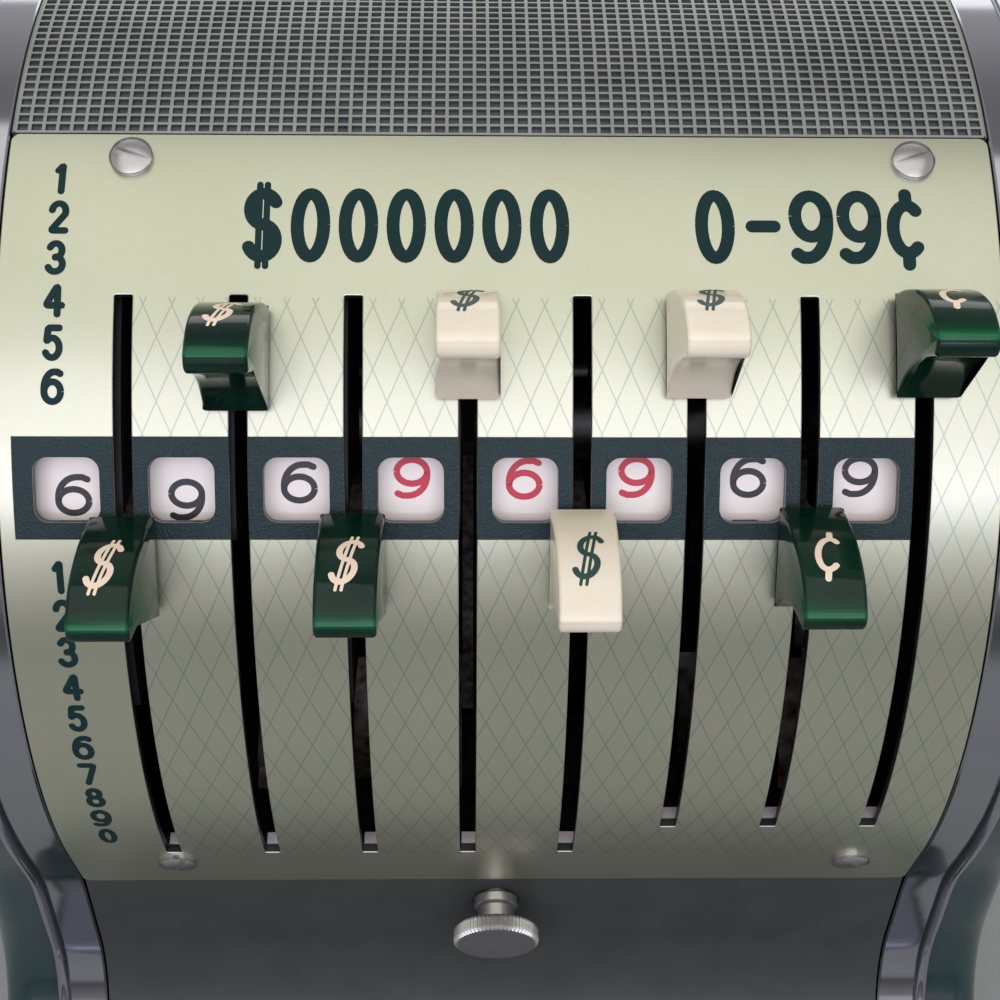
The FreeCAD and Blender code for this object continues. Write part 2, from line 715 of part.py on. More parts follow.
# --- lever columns, built with the lever level at the front ---------------------------------------
def lever_arm(steps):
    half = blade_thickness / 2
    hub = rod(hub_radius, -hub_half, hub_half, axis)
    stem_half = stem_length / 2
    stem_root = segment_radius - neck_drop
    shoulder = stem_root - neck_length
    blade = spoke(0, 0, shoulder, blade_root_half, neck_half, -half, half)
    neck = spoke(0, shoulder, stem_root, neck_half, stem_half, -half, half)
    stem = spoke(0, stem_root, plate_radius + stem_reach, stem_half, stem_half, -half, half)
    first = detent_angle - top_lever_angle
    last = first + digit_step * steps
    index = ring_sector(index_radius - index_rim, index_radius, first - index_margin, last + index_margin,
                        -half, half)
    type_last = type_angle - top_lever_angle
    type_first = type_last + digit_step * steps
    carrier = ring_sector(carrier_inner, carrier_outer, type_last - carrier_margin,
                          type_first + carrier_margin, -half, half)
    spoke_angles = (first + index_spoke_inset, last - index_spoke_inset,
                    type_last + type_spoke_inset, type_first - type_spoke_inset)
    spokes = [spoke(angle, 0, spoke_reach, spoke_root_half, spoke_tip_half, -half, half)
              for angle in spoke_angles]
    notches = [rod(notch_radius, -half, half, polar(index_radius + notch_rise, first + digit_step * step))
               for step in range(steps + 1)]
    arm = fuse([hub, blade, neck, stem, index, carrier] + spokes)
    return arm.cut([rod(shaft_radius + running_clearance, -hub_half, hub_half, axis)] + notches)


def number_segment(steps):
    right = -blade_thickness / 2 - running_clearance
    left = right - segment_width
    end = window_angle - top_lever_angle + digit_step * steps + segment_tail
    shell = ring_sector(segment_radius - segment_wall, segment_radius, -segment_lead, end, left, right)
    web = ring_sector(segment_web_inner, segment_radius - 1, -segment_lead, end,
                      right - blade_thickness, right)
    return fuse([shell, web])


def type_segment(steps):
    right = -blade_thickness / 2 - running_clearance
    last = type_angle - top_lever_angle
    first = last + digit_step * steps
    body = ring_sector(type_body_inner, type_root_radius, last - carrier_margin, first + carrier_margin,
                       right - type_width, right)
    half = type_face_angle / 2
    faces = [ring_sector(type_root_radius - 1, type_radius, last + digit_step * step - half,
                         last + digit_step * step + half, right - type_width, right)
             for step in range(steps + 1)]
    return fuse([body] + faces)


def tab_point(along, height):
    """A point above the face plate: along the slot from the stem, downwards, and off the plate."""
    return polar(plate_radius + height, -degrees(along / plate_radius))


def lever_tab():
    """A finger tab: a convex top that ends in a rounded lip, a hollow front below it, and narrowing sides."""
    back_curve = Part.BSplineCurve()
    back_curve.interpolate([tab_point(*point) for point in tab_top])
    front_curve = Part.BSplineCurve()
    front_curve.interpolate([tab_point(*point) for point in tab_front])
    nose = Part.Arc(tab_point(*tab_top[-1]), tab_point(*tab_nose), tab_point(*tab_front[0])).toShape()
    floor = arc(axis, plate_radius + tab_clearance, -degrees(tab_front[-1][0] / plate_radius),
                -degrees(tab_top[0][0] / plate_radius))
    foot, lip_half = tab_foot_width / 2, tab_lip_width / 2
    body = prism([back_curve.toShape(), nose, front_curve.toShape(), floor], -foot, foot)
    near, far, low = -plate_radius, -plate_radius - tab_height, axis_height - tab_height
    corners = [Vector(-foot, near, low), Vector(foot, near, low), Vector(lip_half, far, low),
               Vector(-lip_half, far, low)]
    narrowing = Part.Face(Part.makePolygon(corners + corners[:1])).extrude(Vector(0, 0, 2 * tab_height))
    body = body.common(narrowing)
    rims = [edge for edge in body.Edges if edge.BoundBox.XLength < lip_half]
    along = stem_length / 2 + running_clearance
    across = blade_thickness / 2 + running_clearance
    socket = spoke(0, plate_radius - 2, plate_radius + stem_reach + seat_gap, along, along, -across, across)
    return body.makeFillet(tab_round, rims).cut(socket)


# --- printing and handle ------------------------------------------------------------------------
def platen():
    """Pressing bar under the type; its sloped underside rides on the wedge."""
    rise = wedge_slope * platen_width / 2
    low = wedge_height + moving_gap / 2
    front, rear = -platen_width / 2, platen_width / 2
    corners = [Vector(0, front, platen_top), Vector(0, rear, platen_top),
               Vector(0, rear, low - rise), Vector(0, front, low + rise)]
    return polygon(corners, platen_left, platen_right)


def lift_wedge():
    """Sloped block under the platen, with a pull rod back to the handle's crank."""
    front, rear = -platen_width / 2 - wedge_travel - wedge_overrun, platen_width / 2 + wedge_overrun
    floor = wedge_floor
    corners = [Vector(0, front, wedge_height - wedge_slope * front),
               Vector(0, rear, wedge_height - wedge_slope * rear),
               Vector(0, rear, floor), Vector(0, front, floor)]
    block = polygon(corners, -wedge_half_width, wedge_half_width)
    pin = crank_pin()
    half = pull_half_width
    pull = box(-half, half, rear - 1, pin.y, floor, floor + pull_height)
    fork = box(-half, half, pin.y - fork_half_depth, pin.y + fork_half_depth, floor, base_top - moving_gap)
    way = crank_pin_radius + wedge_gap
    gap = box(-half - 1, half + 1, pin.y - way, pin.y + way, floor + pull_height, base_top)
    return fuse([block, pull, fork]).cut(gap)


def crank_pin():
    swing = radians(handle_swing / 2)
    return handle_axis() + Vector(0, -sin(swing), -cos(swing)) * crank_radius


def handle_shaft():
    centre = handle_axis()
    pin = crank_pin()
    shaft = rod(handle_shaft_radius, -frame_outer, handle_arm_x + handle_arm_thickness + shaft_stand, centre)
    along = (pin - centre).normalize()
    across = Vector(0, -along.z, along.y)
    end_x = crank_x + crank_thickness
    root, tip = across * crank_root_half, across * crank_tip_radius
    web = polygon([centre + root, pin + tip, pin - tip, centre - root], crank_x, end_x)
    ends = [rod(crank_root_radius, crank_x, end_x, centre), rod(crank_tip_radius, crank_x, end_x, pin),
            rod(crank_pin_radius, -pull_half_width, crank_x + 1, pin)]
    return fuse([shaft, web] + ends)


def handle_tip():
    lean = radians(handle_lean)
    return Vector(0, sin(lean), cos(lean))


def handle_arm():
    centre = handle_axis()
    along = handle_tip()
    across = Vector(0, along.z, -along.y)
    x0, x1 = handle_arm_x, handle_arm_x + handle_arm_thickness
    end = centre + along * (handle_length - grip_length / 2)
    root, tip = across * arm_root_half, across * arm_tip_half
    bar = polygon([centre + root, end + tip, end - tip, centre - root], x0, x1)
    boss = rod(boss_radius, cover_outer + 4 * seat_gap, x1 + boss_rise, centre)
    return fuse([bar, boss]).cut(rod(handle_shaft_radius, cover_outer, x1 + shaft_stand, centre))


def handle_grip():
    """Turned grip with a full middle, pushed over the end of the arm."""
    centre = handle_axis() + Vector(handle_arm_x + handle_arm_thickness / 2, 0, 0)
    start = centre + handle_tip() * (handle_length - grip_length)
    profile = [Vector(grip_radius * share, 0, grip_length * height) for share, height in grip_profile]
    outline = Part.BSplineCurve()
    outline.interpolate(profile)
    crown, top = Vector(grip_radius * grip_crown, 0, grip_length), Vector(0, 0, grip_length)
    bottom = Vector(0, 0, 0)
    edges = [outline.toShape(), line(profile[-1], crown), line(crown, top), line(top, bottom),
             line(bottom, profile[0])]
    grip = Part.Face(Part.Wire(edges)).revolve(Vector(0, 0, 0), Vector(0, 0, 1), 360)
    grip = point_along(grip, start, handle_tip())
    return grip.cut(handle_arm())


def return_spring():
    """Torsion spring round the handle shaft: close coils and a leg that bears on the base."""
    centre = handle_axis()
    start, inner = spring_start_x, handle_shaft_radius + seat_gap
    middle, crest = inner + spring_wire / 2, inner + spring_wire
    turns = [start + spring_wire * turn for turn in range(spring_turns + 1)]
    end = turns[-1]
    edges = [line(Vector(start, 0, inner), Vector(start, 0, middle)),
             line(Vector(end, 0, middle), Vector(end, 0, inner)),
             line(Vector(end, 0, inner), Vector(start, 0, inner))]
    edges += [Part.Arc(Vector(a, 0, middle), Vector((a + b) / 2, 0, crest), Vector(b, 0, middle)).toShape()
              for a, b in zip(turns, turns[1:])]
    coils = Part.Face(Part.Wire(Part.__sortEdges__(edges))).revolve(Vector(0, 0, 0), Vector(1, 0, 0), 360)
    coils.translate(centre)
    bottom = base_top + seat_gap
    leg = Part.makeCylinder(spring_wire / 2, centre.z - bottom,
                            Vector(start + spring_wire, centre.y - middle, bottom))
    return fuse([coils, leg])


def ink_roller():
    centre = roller_axis()
    pin = rod(roller_pin_radius, -frame_outer, frame_outer, centre)
    return fuse([pin, rod(roller_radius, slot_xs[0] - roller_left, slot_xs[-1] + roller_right, centre)])


# --- write --------------------------------------------------------------------------------------
def fixed_pieces():
    right_frame, right_cheek, right_cover = side_frame(), cheek(), side_cover()
    shaft_hole = rod(handle_shaft_radius + moving_gap, bead_outer, cover_outer + 1, handle_axis())
    right_holes = screw_holes(side_cover_seats()[3:], side_cover_wall + 1)
    left_holes = screw_holes(side_cover_seats()[:3], side_cover_wall + 1)
    return {
        "base": base(), "rubber_feet": rubber_feet(), "paper_table": paper_table(),
        "right_side_frame": right_frame, "left_side_frame": mirrored(right_frame),
        "tie_rods": tie_rods(), "main_shaft": main_shaft(), "detent_comb": detent_comb(),
        "throat_guide": throat_guide(), "face_plate": face_plate(), "plate_rails": plate_rails(),
        "pan_screws": pan_screws(), "grid_cover": grid_cover(), "rear_cover": rear_cover(),
        "slot_stops": slot_stops(), "apron": apron(), "thumb_screw": thumb_screw(),
        "right_cheek": right_cheek, "left_cheek": mirrored(right_cheek),
        "right_side_cover": right_cover.cut([shaft_hole] + right_holes),
        "left_side_cover": mirrored(right_cover).cut(left_holes), "platen": platen(),
        "lift_wedge": lift_wedge(), "handle_shaft": handle_shaft(), "handle_arm": handle_arm(),
        "handle_grip": handle_grip(), "return_spring": return_spring(), "ink_roller": ink_roller()}


def lever_pieces():
    pieces = {}
    for column, x in enumerate(slot_xs):
        steps = lever_count + 1 if column + 1 >= short_columns_from else lever_count + 2
        parts = {"lever_arm": lever_arm(steps), "number_segment": number_segment(steps),
                 "type_segment": type_segment(steps), "lever_tab": lever_tab()}
        for name, shape in parts.items():
            shape.rotate(axis, Vector(1, 0, 0), -rest_lever_angles[column])
            shape.translate(Vector(x, 0, 0))
            pieces[f"{name}_{column + 1}"] = shape
    return pieces


os.makedirs("parts", exist_ok=True)
for node, shape in {**fixed_pieces(), **lever_pieces()}.items():
    shape.exportStep(f"parts/{node}.step")
    bounds = shape.BoundBox
    print(f"{node:20s} solids {len(shape.Solids)} valid {shape.isValid()} volume {shape.Volume:10.1f} "
          f"x {bounds.XMin:.1f}..{bounds.XMax:.1f} y {bounds.YMin:.1f}..{bounds.YMax:.1f} "
          f"z {bounds.ZMin:.1f}..{bounds.ZMax:.1f}")
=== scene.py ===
import json
import math
import bpy
import bmesh
from mathutils import Matrix, Vector


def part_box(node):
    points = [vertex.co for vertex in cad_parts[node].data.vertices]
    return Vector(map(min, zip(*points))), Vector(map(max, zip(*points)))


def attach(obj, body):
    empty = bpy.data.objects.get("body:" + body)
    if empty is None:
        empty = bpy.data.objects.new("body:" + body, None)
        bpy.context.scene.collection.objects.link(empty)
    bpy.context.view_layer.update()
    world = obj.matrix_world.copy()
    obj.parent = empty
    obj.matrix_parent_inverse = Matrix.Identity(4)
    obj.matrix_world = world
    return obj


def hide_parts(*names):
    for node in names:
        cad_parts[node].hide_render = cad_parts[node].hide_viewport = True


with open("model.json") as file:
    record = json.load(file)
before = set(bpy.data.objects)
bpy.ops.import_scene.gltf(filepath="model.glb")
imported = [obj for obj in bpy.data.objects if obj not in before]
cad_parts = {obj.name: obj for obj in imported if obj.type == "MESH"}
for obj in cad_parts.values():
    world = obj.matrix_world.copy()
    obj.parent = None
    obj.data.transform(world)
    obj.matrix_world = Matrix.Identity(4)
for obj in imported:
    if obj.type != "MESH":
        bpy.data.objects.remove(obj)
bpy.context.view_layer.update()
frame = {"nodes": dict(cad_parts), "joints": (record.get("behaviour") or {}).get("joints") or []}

mm = 0.001


def degreesCos(angle):
    return math.cos(math.radians(angle))


def degreesSin(angle):
    return math.sin(math.radians(angle))


def boxOf(node):
    low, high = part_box(node)
    return Vector(low), Vector(high)


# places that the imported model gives
plateLow, plateHigh = boxOf("face_plate")
shaftLow, shaftHigh = boxOf("main_shaft")
shaftCentre = (shaftLow + shaftHigh) / 2
shaftCentre.x = 0.0
plateRadius = shaftCentre.y - plateLow.y
plateHalf = (plateHigh.x - plateLow.x) / 2
leverJoints = [joint for joint in frame["joints"] if joint["name"].startswith("lever_")]
slotXs = [joint["pos_m"][0] for joint in leverJoints]
leverTop = 57.5        # degrees above the horizontal with the lever at its highest digit
digitStep = 6.4
restAngles = [leverTop + joint["range_deg"][0] for joint in leverJoints]
bandAngle = 38.7       # the level that the plate's marks and the band are measured from

outline = {
    "flatAngle": -8.0,     # the plate runs straight below this angle
    "flatLength": 13.0 * mm,
    "topAngle": 75.1,
    "seamGap": 0.15 * mm,
    "apronAngle": 7.4,
    "apronLength": 18.0 * mm,
    "waistRadius": 30.0 * mm,
    "flareRadius": 25.0 * mm,
    "lipAngle": 70.0,
    "rearAngle": 165.0,
    "coverSplit": 150.0,
    "footHeight": 30.2 * mm,
}


# outline of the housing, seen from the side
def outward(angle):
    return Vector((0, -degreesCos(angle), degreesSin(angle)))


def downward(angle):
    return Vector((0, -degreesSin(angle), -degreesCos(angle)))


flatStart = shaftCentre + outward(outline["flatAngle"]) * plateRadius
plateEnd = flatStart + downward(outline["flatAngle"]) * outline["flatLength"]
waistTurn = outline["apronAngle"] - outline["flatAngle"]
waistTrim = outline["waistRadius"] * math.tan(math.radians(waistTurn / 2))
waistStart = plateEnd - downward(outline["flatAngle"]) * waistTrim
waistCentre = waistStart + outward(outline["flatAngle"]) * outline["waistRadius"]
flareStart = plateEnd + downward(outline["apronAngle"]) * outline["apronLength"]
flareCentre = flareStart + outward(outline["apronAngle"]) * outline["flareRadius"]


def onPlate(x, arc, lift=0.0):
    # arc is the height along the plate above the level of the shaft
    angle = math.degrees(arc / plateRadius)
    flat = outline["flatAngle"]
    if angle >= flat:
        point = shaftCentre + outward(angle) * (plateRadius + lift)
    else:
        run = math.radians(flat - angle) * plateRadius
        point = flatStart + downward(flat) * run + outward(flat) * lift
    return Vector((x, point.y, point.z))


def arcOf(angle):
    return math.radians(angle) * plateRadius


def sweepAngles(start, end, step):
    count = max(2, int(abs(end - start) / step))
    return [start + (end - start) * i / count for i in range(count + 1)]


def housingPath(offset, step=1.5):
    # (point, outward direction) from the front lip over the top to the rear foot
    o = outline
    path = []
    for angle in sweepAngles(o["lipAngle"], o["apronAngle"], 3):
        path.append((flareCentre - outward(angle) * (o["flareRadius"] - offset), outward(angle)))
    for angle in sweepAngles(o["apronAngle"], o["flatAngle"], 2):
        path.append((waistCentre - outward(angle) * (o["waistRadius"] - offset), outward(angle)))
    for angle in sweepAngles(o["flatAngle"], o["rearAngle"], step):
        path.append((shaftCentre + outward(angle) * (plateRadius + offset), outward(angle)))
    last = path[-1][0]
    back = downward(o["rearAngle"]) * -1
    path.append((last + back * ((o["footHeight"] - last.z) / back.z), outward(o["rearAngle"])))
    return path


# mesh helpers
def addObject(name, data):
    made = bpy.data.objects.new(name, data)
    bpy.context.scene.collection.objects.link(made)
    return made


def addMesh(bm, name, material):
    mesh = bpy.data.meshes.new(name)
    bm.to_mesh(mesh)
    bm.free()
    mesh.materials.append(material)
    return addObject(name, mesh)


def softShade(mesh, angle):
    mesh.shade_smooth()
    mesh.set_sharp_from_angle(angle=math.radians(angle))


def finishMesh(bm, name, material):
    bmesh.ops.remove_doubles(bm, verts=bm.verts, dist=1e-6)
    bmesh.ops.recalc_face_normals(bm, faces=bm.faces)
    piece = addMesh(bm, name, material)
    softShade(piece.data, 32)
    return piece


def toPiece(source, name, material):
    # bakes curves and modifiers into a plain mesh object
    bpy.context.view_layer.update()
    evaluated = source.evaluated_get(bpy.context.evaluated_depsgraph_get())
    mesh = bpy.data.meshes.new_from_object(evaluated)
    bpy.data.objects.remove(source)
    mesh.name = name
    mesh.materials.clear()
    mesh.materials.append(material)
    softShade(mesh, 32)
    return addObject(name, mesh)


def tube(bm, rings):
    # a skin over closed rings of points, with both ends filled
    made = [[bm.verts.new(point) for point in ring] for ring in rings]
    for a, b in zip(made, made[1:]):
        for i in range(len(a)):
            j = (i + 1) % len(a)
            bm.faces.new((a[i], a[j], b[j], b[i]))
    bm.faces.new(made[0])
    bm.faces.new(list(reversed(made[-1])))
    return made


def turnedPiece(name, profile, place, direction, material, steps=56):
    # profile: (distance along the axis, radius) from end to end, closed at both ends
    turn = Vector(direction).to_track_quat("Z", "Y").to_matrix()
    spokes = [(degreesCos(360 * i / steps), degreesSin(360 * i / steps)) for i in range(steps)]
    bm = bmesh.new()
    tube(bm, [[Vector(place) + turn @ Vector((radius * x, radius * y, along)) for x, y in spokes]
              for along, radius in profile])
    return finishMesh(bm, name, material)


def sweepSection(name, section, material, step):
    # section: (x, offset) points round a closed shape, swept along the housing outline
    bm = bmesh.new()
    runs = [[Vector((x, point.y, point.z)) for point, _ in housingPath(offset, step)]
            for x, offset in section]
    tube(bm, zip(*runs))
    return finishMesh(bm, name, material)


# node trees
class Flow:
    # an output in a node tree that sums and products can be made of
    def __init__(self, tree, output):
        self.tree, self.output = tree, output

    def __add__(self, other):
        return reckon("ADD", self, other)

    def __sub__(self, other):
        return reckon("SUBTRACT", self, other)

    def __mul__(self, other):
        return reckon("MULTIPLY", self, other)

    def __truediv__(self, other):
        return reckon("DIVIDE", self, other)


def feed(tree, socket, value):
    # a flow is linked, and anything else is set on the socket itself
    if isinstance(value, Flow):
        tree.links.new(value.output, socket)
    else:
        socket.default_value = value


def node(tree, kind, feeds, output=0, **settings):
    made = tree.nodes.new(kind)
    for key, value in settings.items():
        setattr(made, key, value)
    for key, value in feeds.items():
        feed(tree, made.inputs[key], value)
    return Flow(tree, made.outputs[output])


def treeOf(*values):
    return next(value.tree for value in values if isinstance(value, Flow))


def reckon(operation, *values):
    return node(treeOf(*values), "ShaderNodeMath", dict(enumerate(values)), operation=operation)


def splitVector(tree, vector):
    made = tree.nodes.new("ShaderNodeSeparateXYZ")
    feed(tree, made.inputs[0], vector)
    return [Flow(tree, output) for output in made.outputs]


def mapRange(value, low, high, toLow=0, toHigh=1, kind="SMOOTHSTEP"):
    feeds = {"Value": value, "From Min": low, "From Max": high, "To Min": toLow, "To Max": toHigh}
    return node(value.tree, "ShaderNodeMapRange", feeds, "Result", interpolation_type=kind)


# materials
def startMaterial(name, color, metallic, roughness, coat=0.0, coatRoughness=0.05, specular=0.5):
    material = bpy.data.materials.new(name)
    material.use_nodes = True
    shader = material.node_tree.nodes["Principled BSDF"]
    for key, value in {"Base Color": (*color, 1), "Metallic": metallic, "Roughness": roughness,
                       "Coat Weight": coat, "Coat Roughness": coatRoughness,
                       "Specular IOR Level": specular}.items():
        shader.inputs[key].default_value = value
    return material, material.node_tree, shader


def noise(tree, scale, detail, roughness=0.5):
    place = node(tree, "ShaderNodeTexCoord", {}, "Object")
    feeds = {"Vector": place, "Scale": scale, "Detail": detail, "Roughness": roughness}
    return node(tree, "ShaderNodeTexNoise", feeds, "Fac")


def ramp(tree, source, *stops):
    made = tree.nodes.new("ShaderNodeValToRGB")
    for element, (position, color) in zip(made.color_ramp.elements, stops):
        element.position, element.color = position, (*color, 1)
    feed(tree, made.inputs["Fac"], source)
    return Flow(tree, made.outputs["Color"])


def mixColor(tree, factor, a, b, blend="MIX"):
    a, b = ((*color, 1) if isinstance(color, tuple) else color for color in (a, b))
    return node(tree, "ShaderNodeMix", {0: factor, 6: a, 7: b}, 2, data_type="RGBA", blend_type=blend)


def addRelief(tree, shader, height, strength, distance):
    feeds = {"Height": height, "Strength": strength, "Distance": distance}
    feed(tree, shader.inputs["Normal"], node(tree, "ShaderNodeBump", feeds))


def grainy(name, color, spread, metallic, roughness, scale, bump, coat=0.0, coatRoughness=0.05,
           roughSpread=0.06, specular=0.5):
    # one finish with mottled colour, varied gloss and a fine surface grain
    material, tree, shader = startMaterial(name, color, metallic, roughness, coat, coatRoughness, specular)
    darker = tuple(max(0, c - spread) for c in color)
    lighter = tuple(min(1, c + spread) for c in color)
    tint = ramp(tree, noise(tree, scale / 12, 4), (0.3, darker), (0.7, lighter))
    feed(tree, shader.inputs["Base Color"], tint)
    fine = noise(tree, scale, 2)
    gloss = mapRange(fine, 0, 1, max(0.02, roughness - roughSpread), min(1, roughness + roughSpread),
                     "LINEAR")
    feed(tree, shader.inputs["Roughness"], gloss)
    if bump > 0:
        addRelief(tree, shader, fine, bump, 0.05 * mm)
    return material


def insideMask(value, low, high, soft):
    return mapRange(value, low - soft, low + soft) * mapRange(value, high - soft, high + soft, 1, 0)


pitch = slotXs[1] - slotXs[0]
platePaint = {
    "color": (0.497, 0.502, 0.378),
    "shade": (0.472, 0.482, 0.357),
    "metallic": 0.85,
    "roughness": 0.33,
    "bandRoughness": 0.34,
    "lineColor": (0.21, 0.265, 0.245),
    "lineWidth": 0.19 * mm,
    "lineStrength": 0.58,
    "cellWidth": 0.25 * pitch,
    "cellHeight": 0.566 * pitch,
    "cellLeft": slotXs[0] + 0.171 * pitch,
    "cellRise": 1.805 * pitch,
    "bandColor": (0.008, 0.026, 0.028),
    "bandLow": bandAngle - math.degrees(0.26 * pitch / plateRadius),
    "bandHigh": bandAngle + math.degrees(0.65 * pitch / plateRadius),
    "bandLeft": slotXs[0] - 0.96 * pitch,
    "bandRight": slotXs[7] - 0.08 * pitch,
    "bandGrain": 3600,
    "patternTop": bandAngle + math.degrees(1.87 * pitch / plateRadius),
    "patternLow": -8.2,
    "patternRight": slotXs[7] + 0.69 * pitch,
    "edge": 0.05 * mm,
}


def paintedPlate():
    # pale metallic enamel with a fine diamond line pattern and a dark band round the windows
    p = platePaint
    material, tree, shader = startMaterial("paleSage", p["color"], p["metallic"], p["roughness"],
                                           specular=0.3)
    across, up, _ = splitVector(tree, node(tree, "ShaderNodeUVMap", {}, uv_map="plateUV"))
    speck = noise(tree, 5200, 1)
    base = ramp(tree, noise(tree, 60, 4), (0.3, p["shade"]), (0.7, p["color"]))
    flake = ramp(tree, speck, (0.35, (0.95, 0.95, 0.95)), (0.65, (1.0, 1.0, 1.0)))
    flaked = mixColor(tree, 1, base, flake, "MULTIPLY")
    # two families of slanted lines make the diamonds
    u = (across - p["cellLeft"]) / p["cellWidth"]
    v = (up - (arcOf(bandAngle) + p["cellRise"])) / p["cellHeight"]
    slantLength = 1 / math.hypot(1 / p["cellWidth"], 1 / p["cellHeight"])
    families = [mapRange(reckon("PINGPONG", phase, 0.5) * slantLength,
                         p["lineWidth"] * 0.3, p["lineWidth"] * 0.75, 1, 0) for phase in (u + v, u - v)]
    band = (insideMask(up, arcOf(p["bandLow"]), arcOf(p["bandHigh"]), p["edge"])
            * insideMask(across, p["bandLeft"], p["bandRight"], p["edge"]))
    field = (insideMask(across, slotXs[0], p["patternRight"], p["edge"])
             * insideMask(up, arcOf(p["patternLow"]), arcOf(p["patternTop"]), p["edge"]))
    drawn = reckon("MAXIMUM", *families) * (field * reckon("SUBTRACT", 1, band)) * p["lineStrength"]
    lined = mixColor(tree, drawn, flaked, p["lineColor"])
    feed(tree, shader.inputs["Base Color"], mixColor(tree, band, lined, p["bandColor"]))
    feed(tree, shader.inputs["Metallic"], reckon("MULTIPLY_ADD", band, -p["metallic"], p["metallic"]))
    gloss = reckon("MULTIPLY_ADD", band, p["bandRoughness"] - p["roughness"], p["roughness"])
    feed(tree, shader.inputs["Roughness"], gloss)
    addRelief(tree, shader, speck * 0.01 + noise(tree, p["bandGrain"], 2) * band, 1.0, 0.2 * mm)
    return material


def pearlPlastic(name, deep, bright, lip):
    # swirled plastic with a highlight painted along the lip of a tab
    material, tree, shader = startMaterial(name, deep, 0.0, 0.12, 0.2, 0.03, 0.14)
    swirl = noise(tree, 140, 3)
    total = reckon("MULTIPLY_ADD", noise(tree, 2600, 1), 0.35, swirl * 0.65)
    tint = ramp(tree, total, (0.35, deep), (0.68, bright))
    # share of the highlight painted along the tab's lip, stored on the tab's points
    share = node(tree, "ShaderNodeAttribute", {}, "Fac", attribute_name="lipShare")
    paintedHighlight = share * reckon("MULTIPLY_ADD", swirl, 0.8, 0.6)
    feed(tree, shader.inputs["Base Color"], mixColor(tree, paintedHighlight, tint, lip))
    feed(tree, shader.inputs["Roughness"], mapRange(swirl, 0, 1, 0.08, 0.2, "LINEAR"))
    return material


def printedInk(name, color, worn):
    # ink with a slightly broken edge of wear
    material, tree, shader = startMaterial(name, color, 0.0, 0.5)
    inked = ramp(tree, noise(tree, 1800, 4, 0.7), (0.24, worn), (0.38, color))
    feed(tree, shader.inputs["Base Color"], inked)
    return material


finishes = {
    "plate": paintedPlate(),
    "lettering": grainy("darkTealEnamel", (0.006, 0.026, 0.026), 0.002, 0.0, 0.5, 1500, 0.3, specular=0.12),
    "cutEdge": grainy("cutMetalEdge", (0.50, 0.49, 0.46), 0.06, 0.85, 0.42, 1600, 0.4),
    # the wall of the plate's cut edge, painted dark as shade
    "cutWall": grainy("darkCutWall", (0.05, 0.052, 0.05), 0.03, 0.6, 0.4, 1600, 0.3),
    "grid": grainy("greyRibs", (0.265, 0.265, 0.235), 0.03, 0.3, 0.42, 1800, 0.2),
    # the grid's recesses, painted dark as shade
    "gridWell": grainy("tealWell", (0.055, 0.068, 0.068), 0.015, 0.0, 0.5, 1800, 0.3),
    "blackEnamel": grainy("blackEnamel", (0.012, 0.014, 0.014), 0.003, 0.0, 0.3, 1200, 0.2, 0.3, 0.15),
    "border": grainy("taupeBorder", (0.22, 0.22, 0.20), 0.02, 0.3, 0.4, 1800, 0.15),
    "apron": grainy("greyWrinkle", (0.047, 0.052, 0.047), 0.005, 0.2, 0.42, 1400, 0.25, specular=0.4),
    "chrome": grainy("cheekChrome", (0.37, 0.365, 0.40), 0.015, 1.0, 0.11, 900, 0.0, roughSpread=0.03),
    "side": grainy("deepTealGloss", (0.006, 0.026, 0.028), 0.002, 0.0, 0.25, 700, 0.1, 0.5, 0.06),
    "nickel": grainy("satinNickel", (0.46, 0.445, 0.43), 0.03, 0.9, 0.3, 2500, 0.15),
    "steel": grainy("plainSteel", (0.42, 0.42, 0.42), 0.04, 1.0, 0.36, 1500, 0.15),
    "wornSteel": grainy("wornSteel", (0.085, 0.068, 0.055), 0.06, 0.5, 0.42, 9000, 0.5),
    "stopMetal": grainy("brightStops", (0.72, 0.64, 0.61), 0.08, 0.35, 0.3, 2500, 0.2),
    "darkSteel": grainy("blackedSteel", (0.02, 0.02, 0.02), 0.006, 0.4, 0.5, 1500, 0.15),
    # brass with a dark, blotchy colour
    "brass": grainy("inkedBrass", (0.10, 0.075, 0.05), 0.07, 0.8, 0.4, 4200, 0.3),
    "card": grainy("ivoryCard", (0.93, 0.85, 0.765), 0.015, 0.0, 0.45, 1600, 0.2),
    "rubber": grainy("blackRubber", (0.02, 0.02, 0.02), 0.004, 0.0, 0.8, 1400, 0.6),
    # the last colour of each pearl plastic is the highlight painted along a tab's lip
    "green": pearlPlastic("pearlGreen", (0.002, 0.012, 0.008), (0.004, 0.026, 0.014), (0.004, 0.125, 0.042)),
    "ivory": pearlPlastic("creamPlastic", (0.74, 0.66, 0.50), (0.80, 0.73, 0.57), (0.84, 0.76, 0.60)),
    "blackInk": printedInk("blackInk", (0.018, 0.015, 0.017), (0.10, 0.09, 0.09)),
    "redInk": printedInk("redInk", (0.58, 0.025, 0.05), (0.68, 0.14, 0.15)),
    "creamInk": printedInk("creamInk", (0.83, 0.66, 0.50), (0.8, 0.62, 0.47)),
    "greenInk": printedInk("greenInk", (0.01, 0.05, 0.035), (0.02, 0.08, 0.05)),
}
print("stage: finishes made")


# face plate
facePlate = {
    "thickness": 1.6 * mm,
    "cornerRadius": 1.3 * mm,
    "slotWidth": 2.54 * mm,
    "slotTop": 58.6,
    "slotEnds": [-7.6] * 5 + [-1.2] * 3,
    "windowSize": 9.13 * mm,
    "windowCorner": 2.0 * mm,
    "windowAngle": 40.6,
    "windowShift": -7.9 * mm,
    "edgeRound": 0.15 * mm,
    "slice": 0.9 * mm,
}


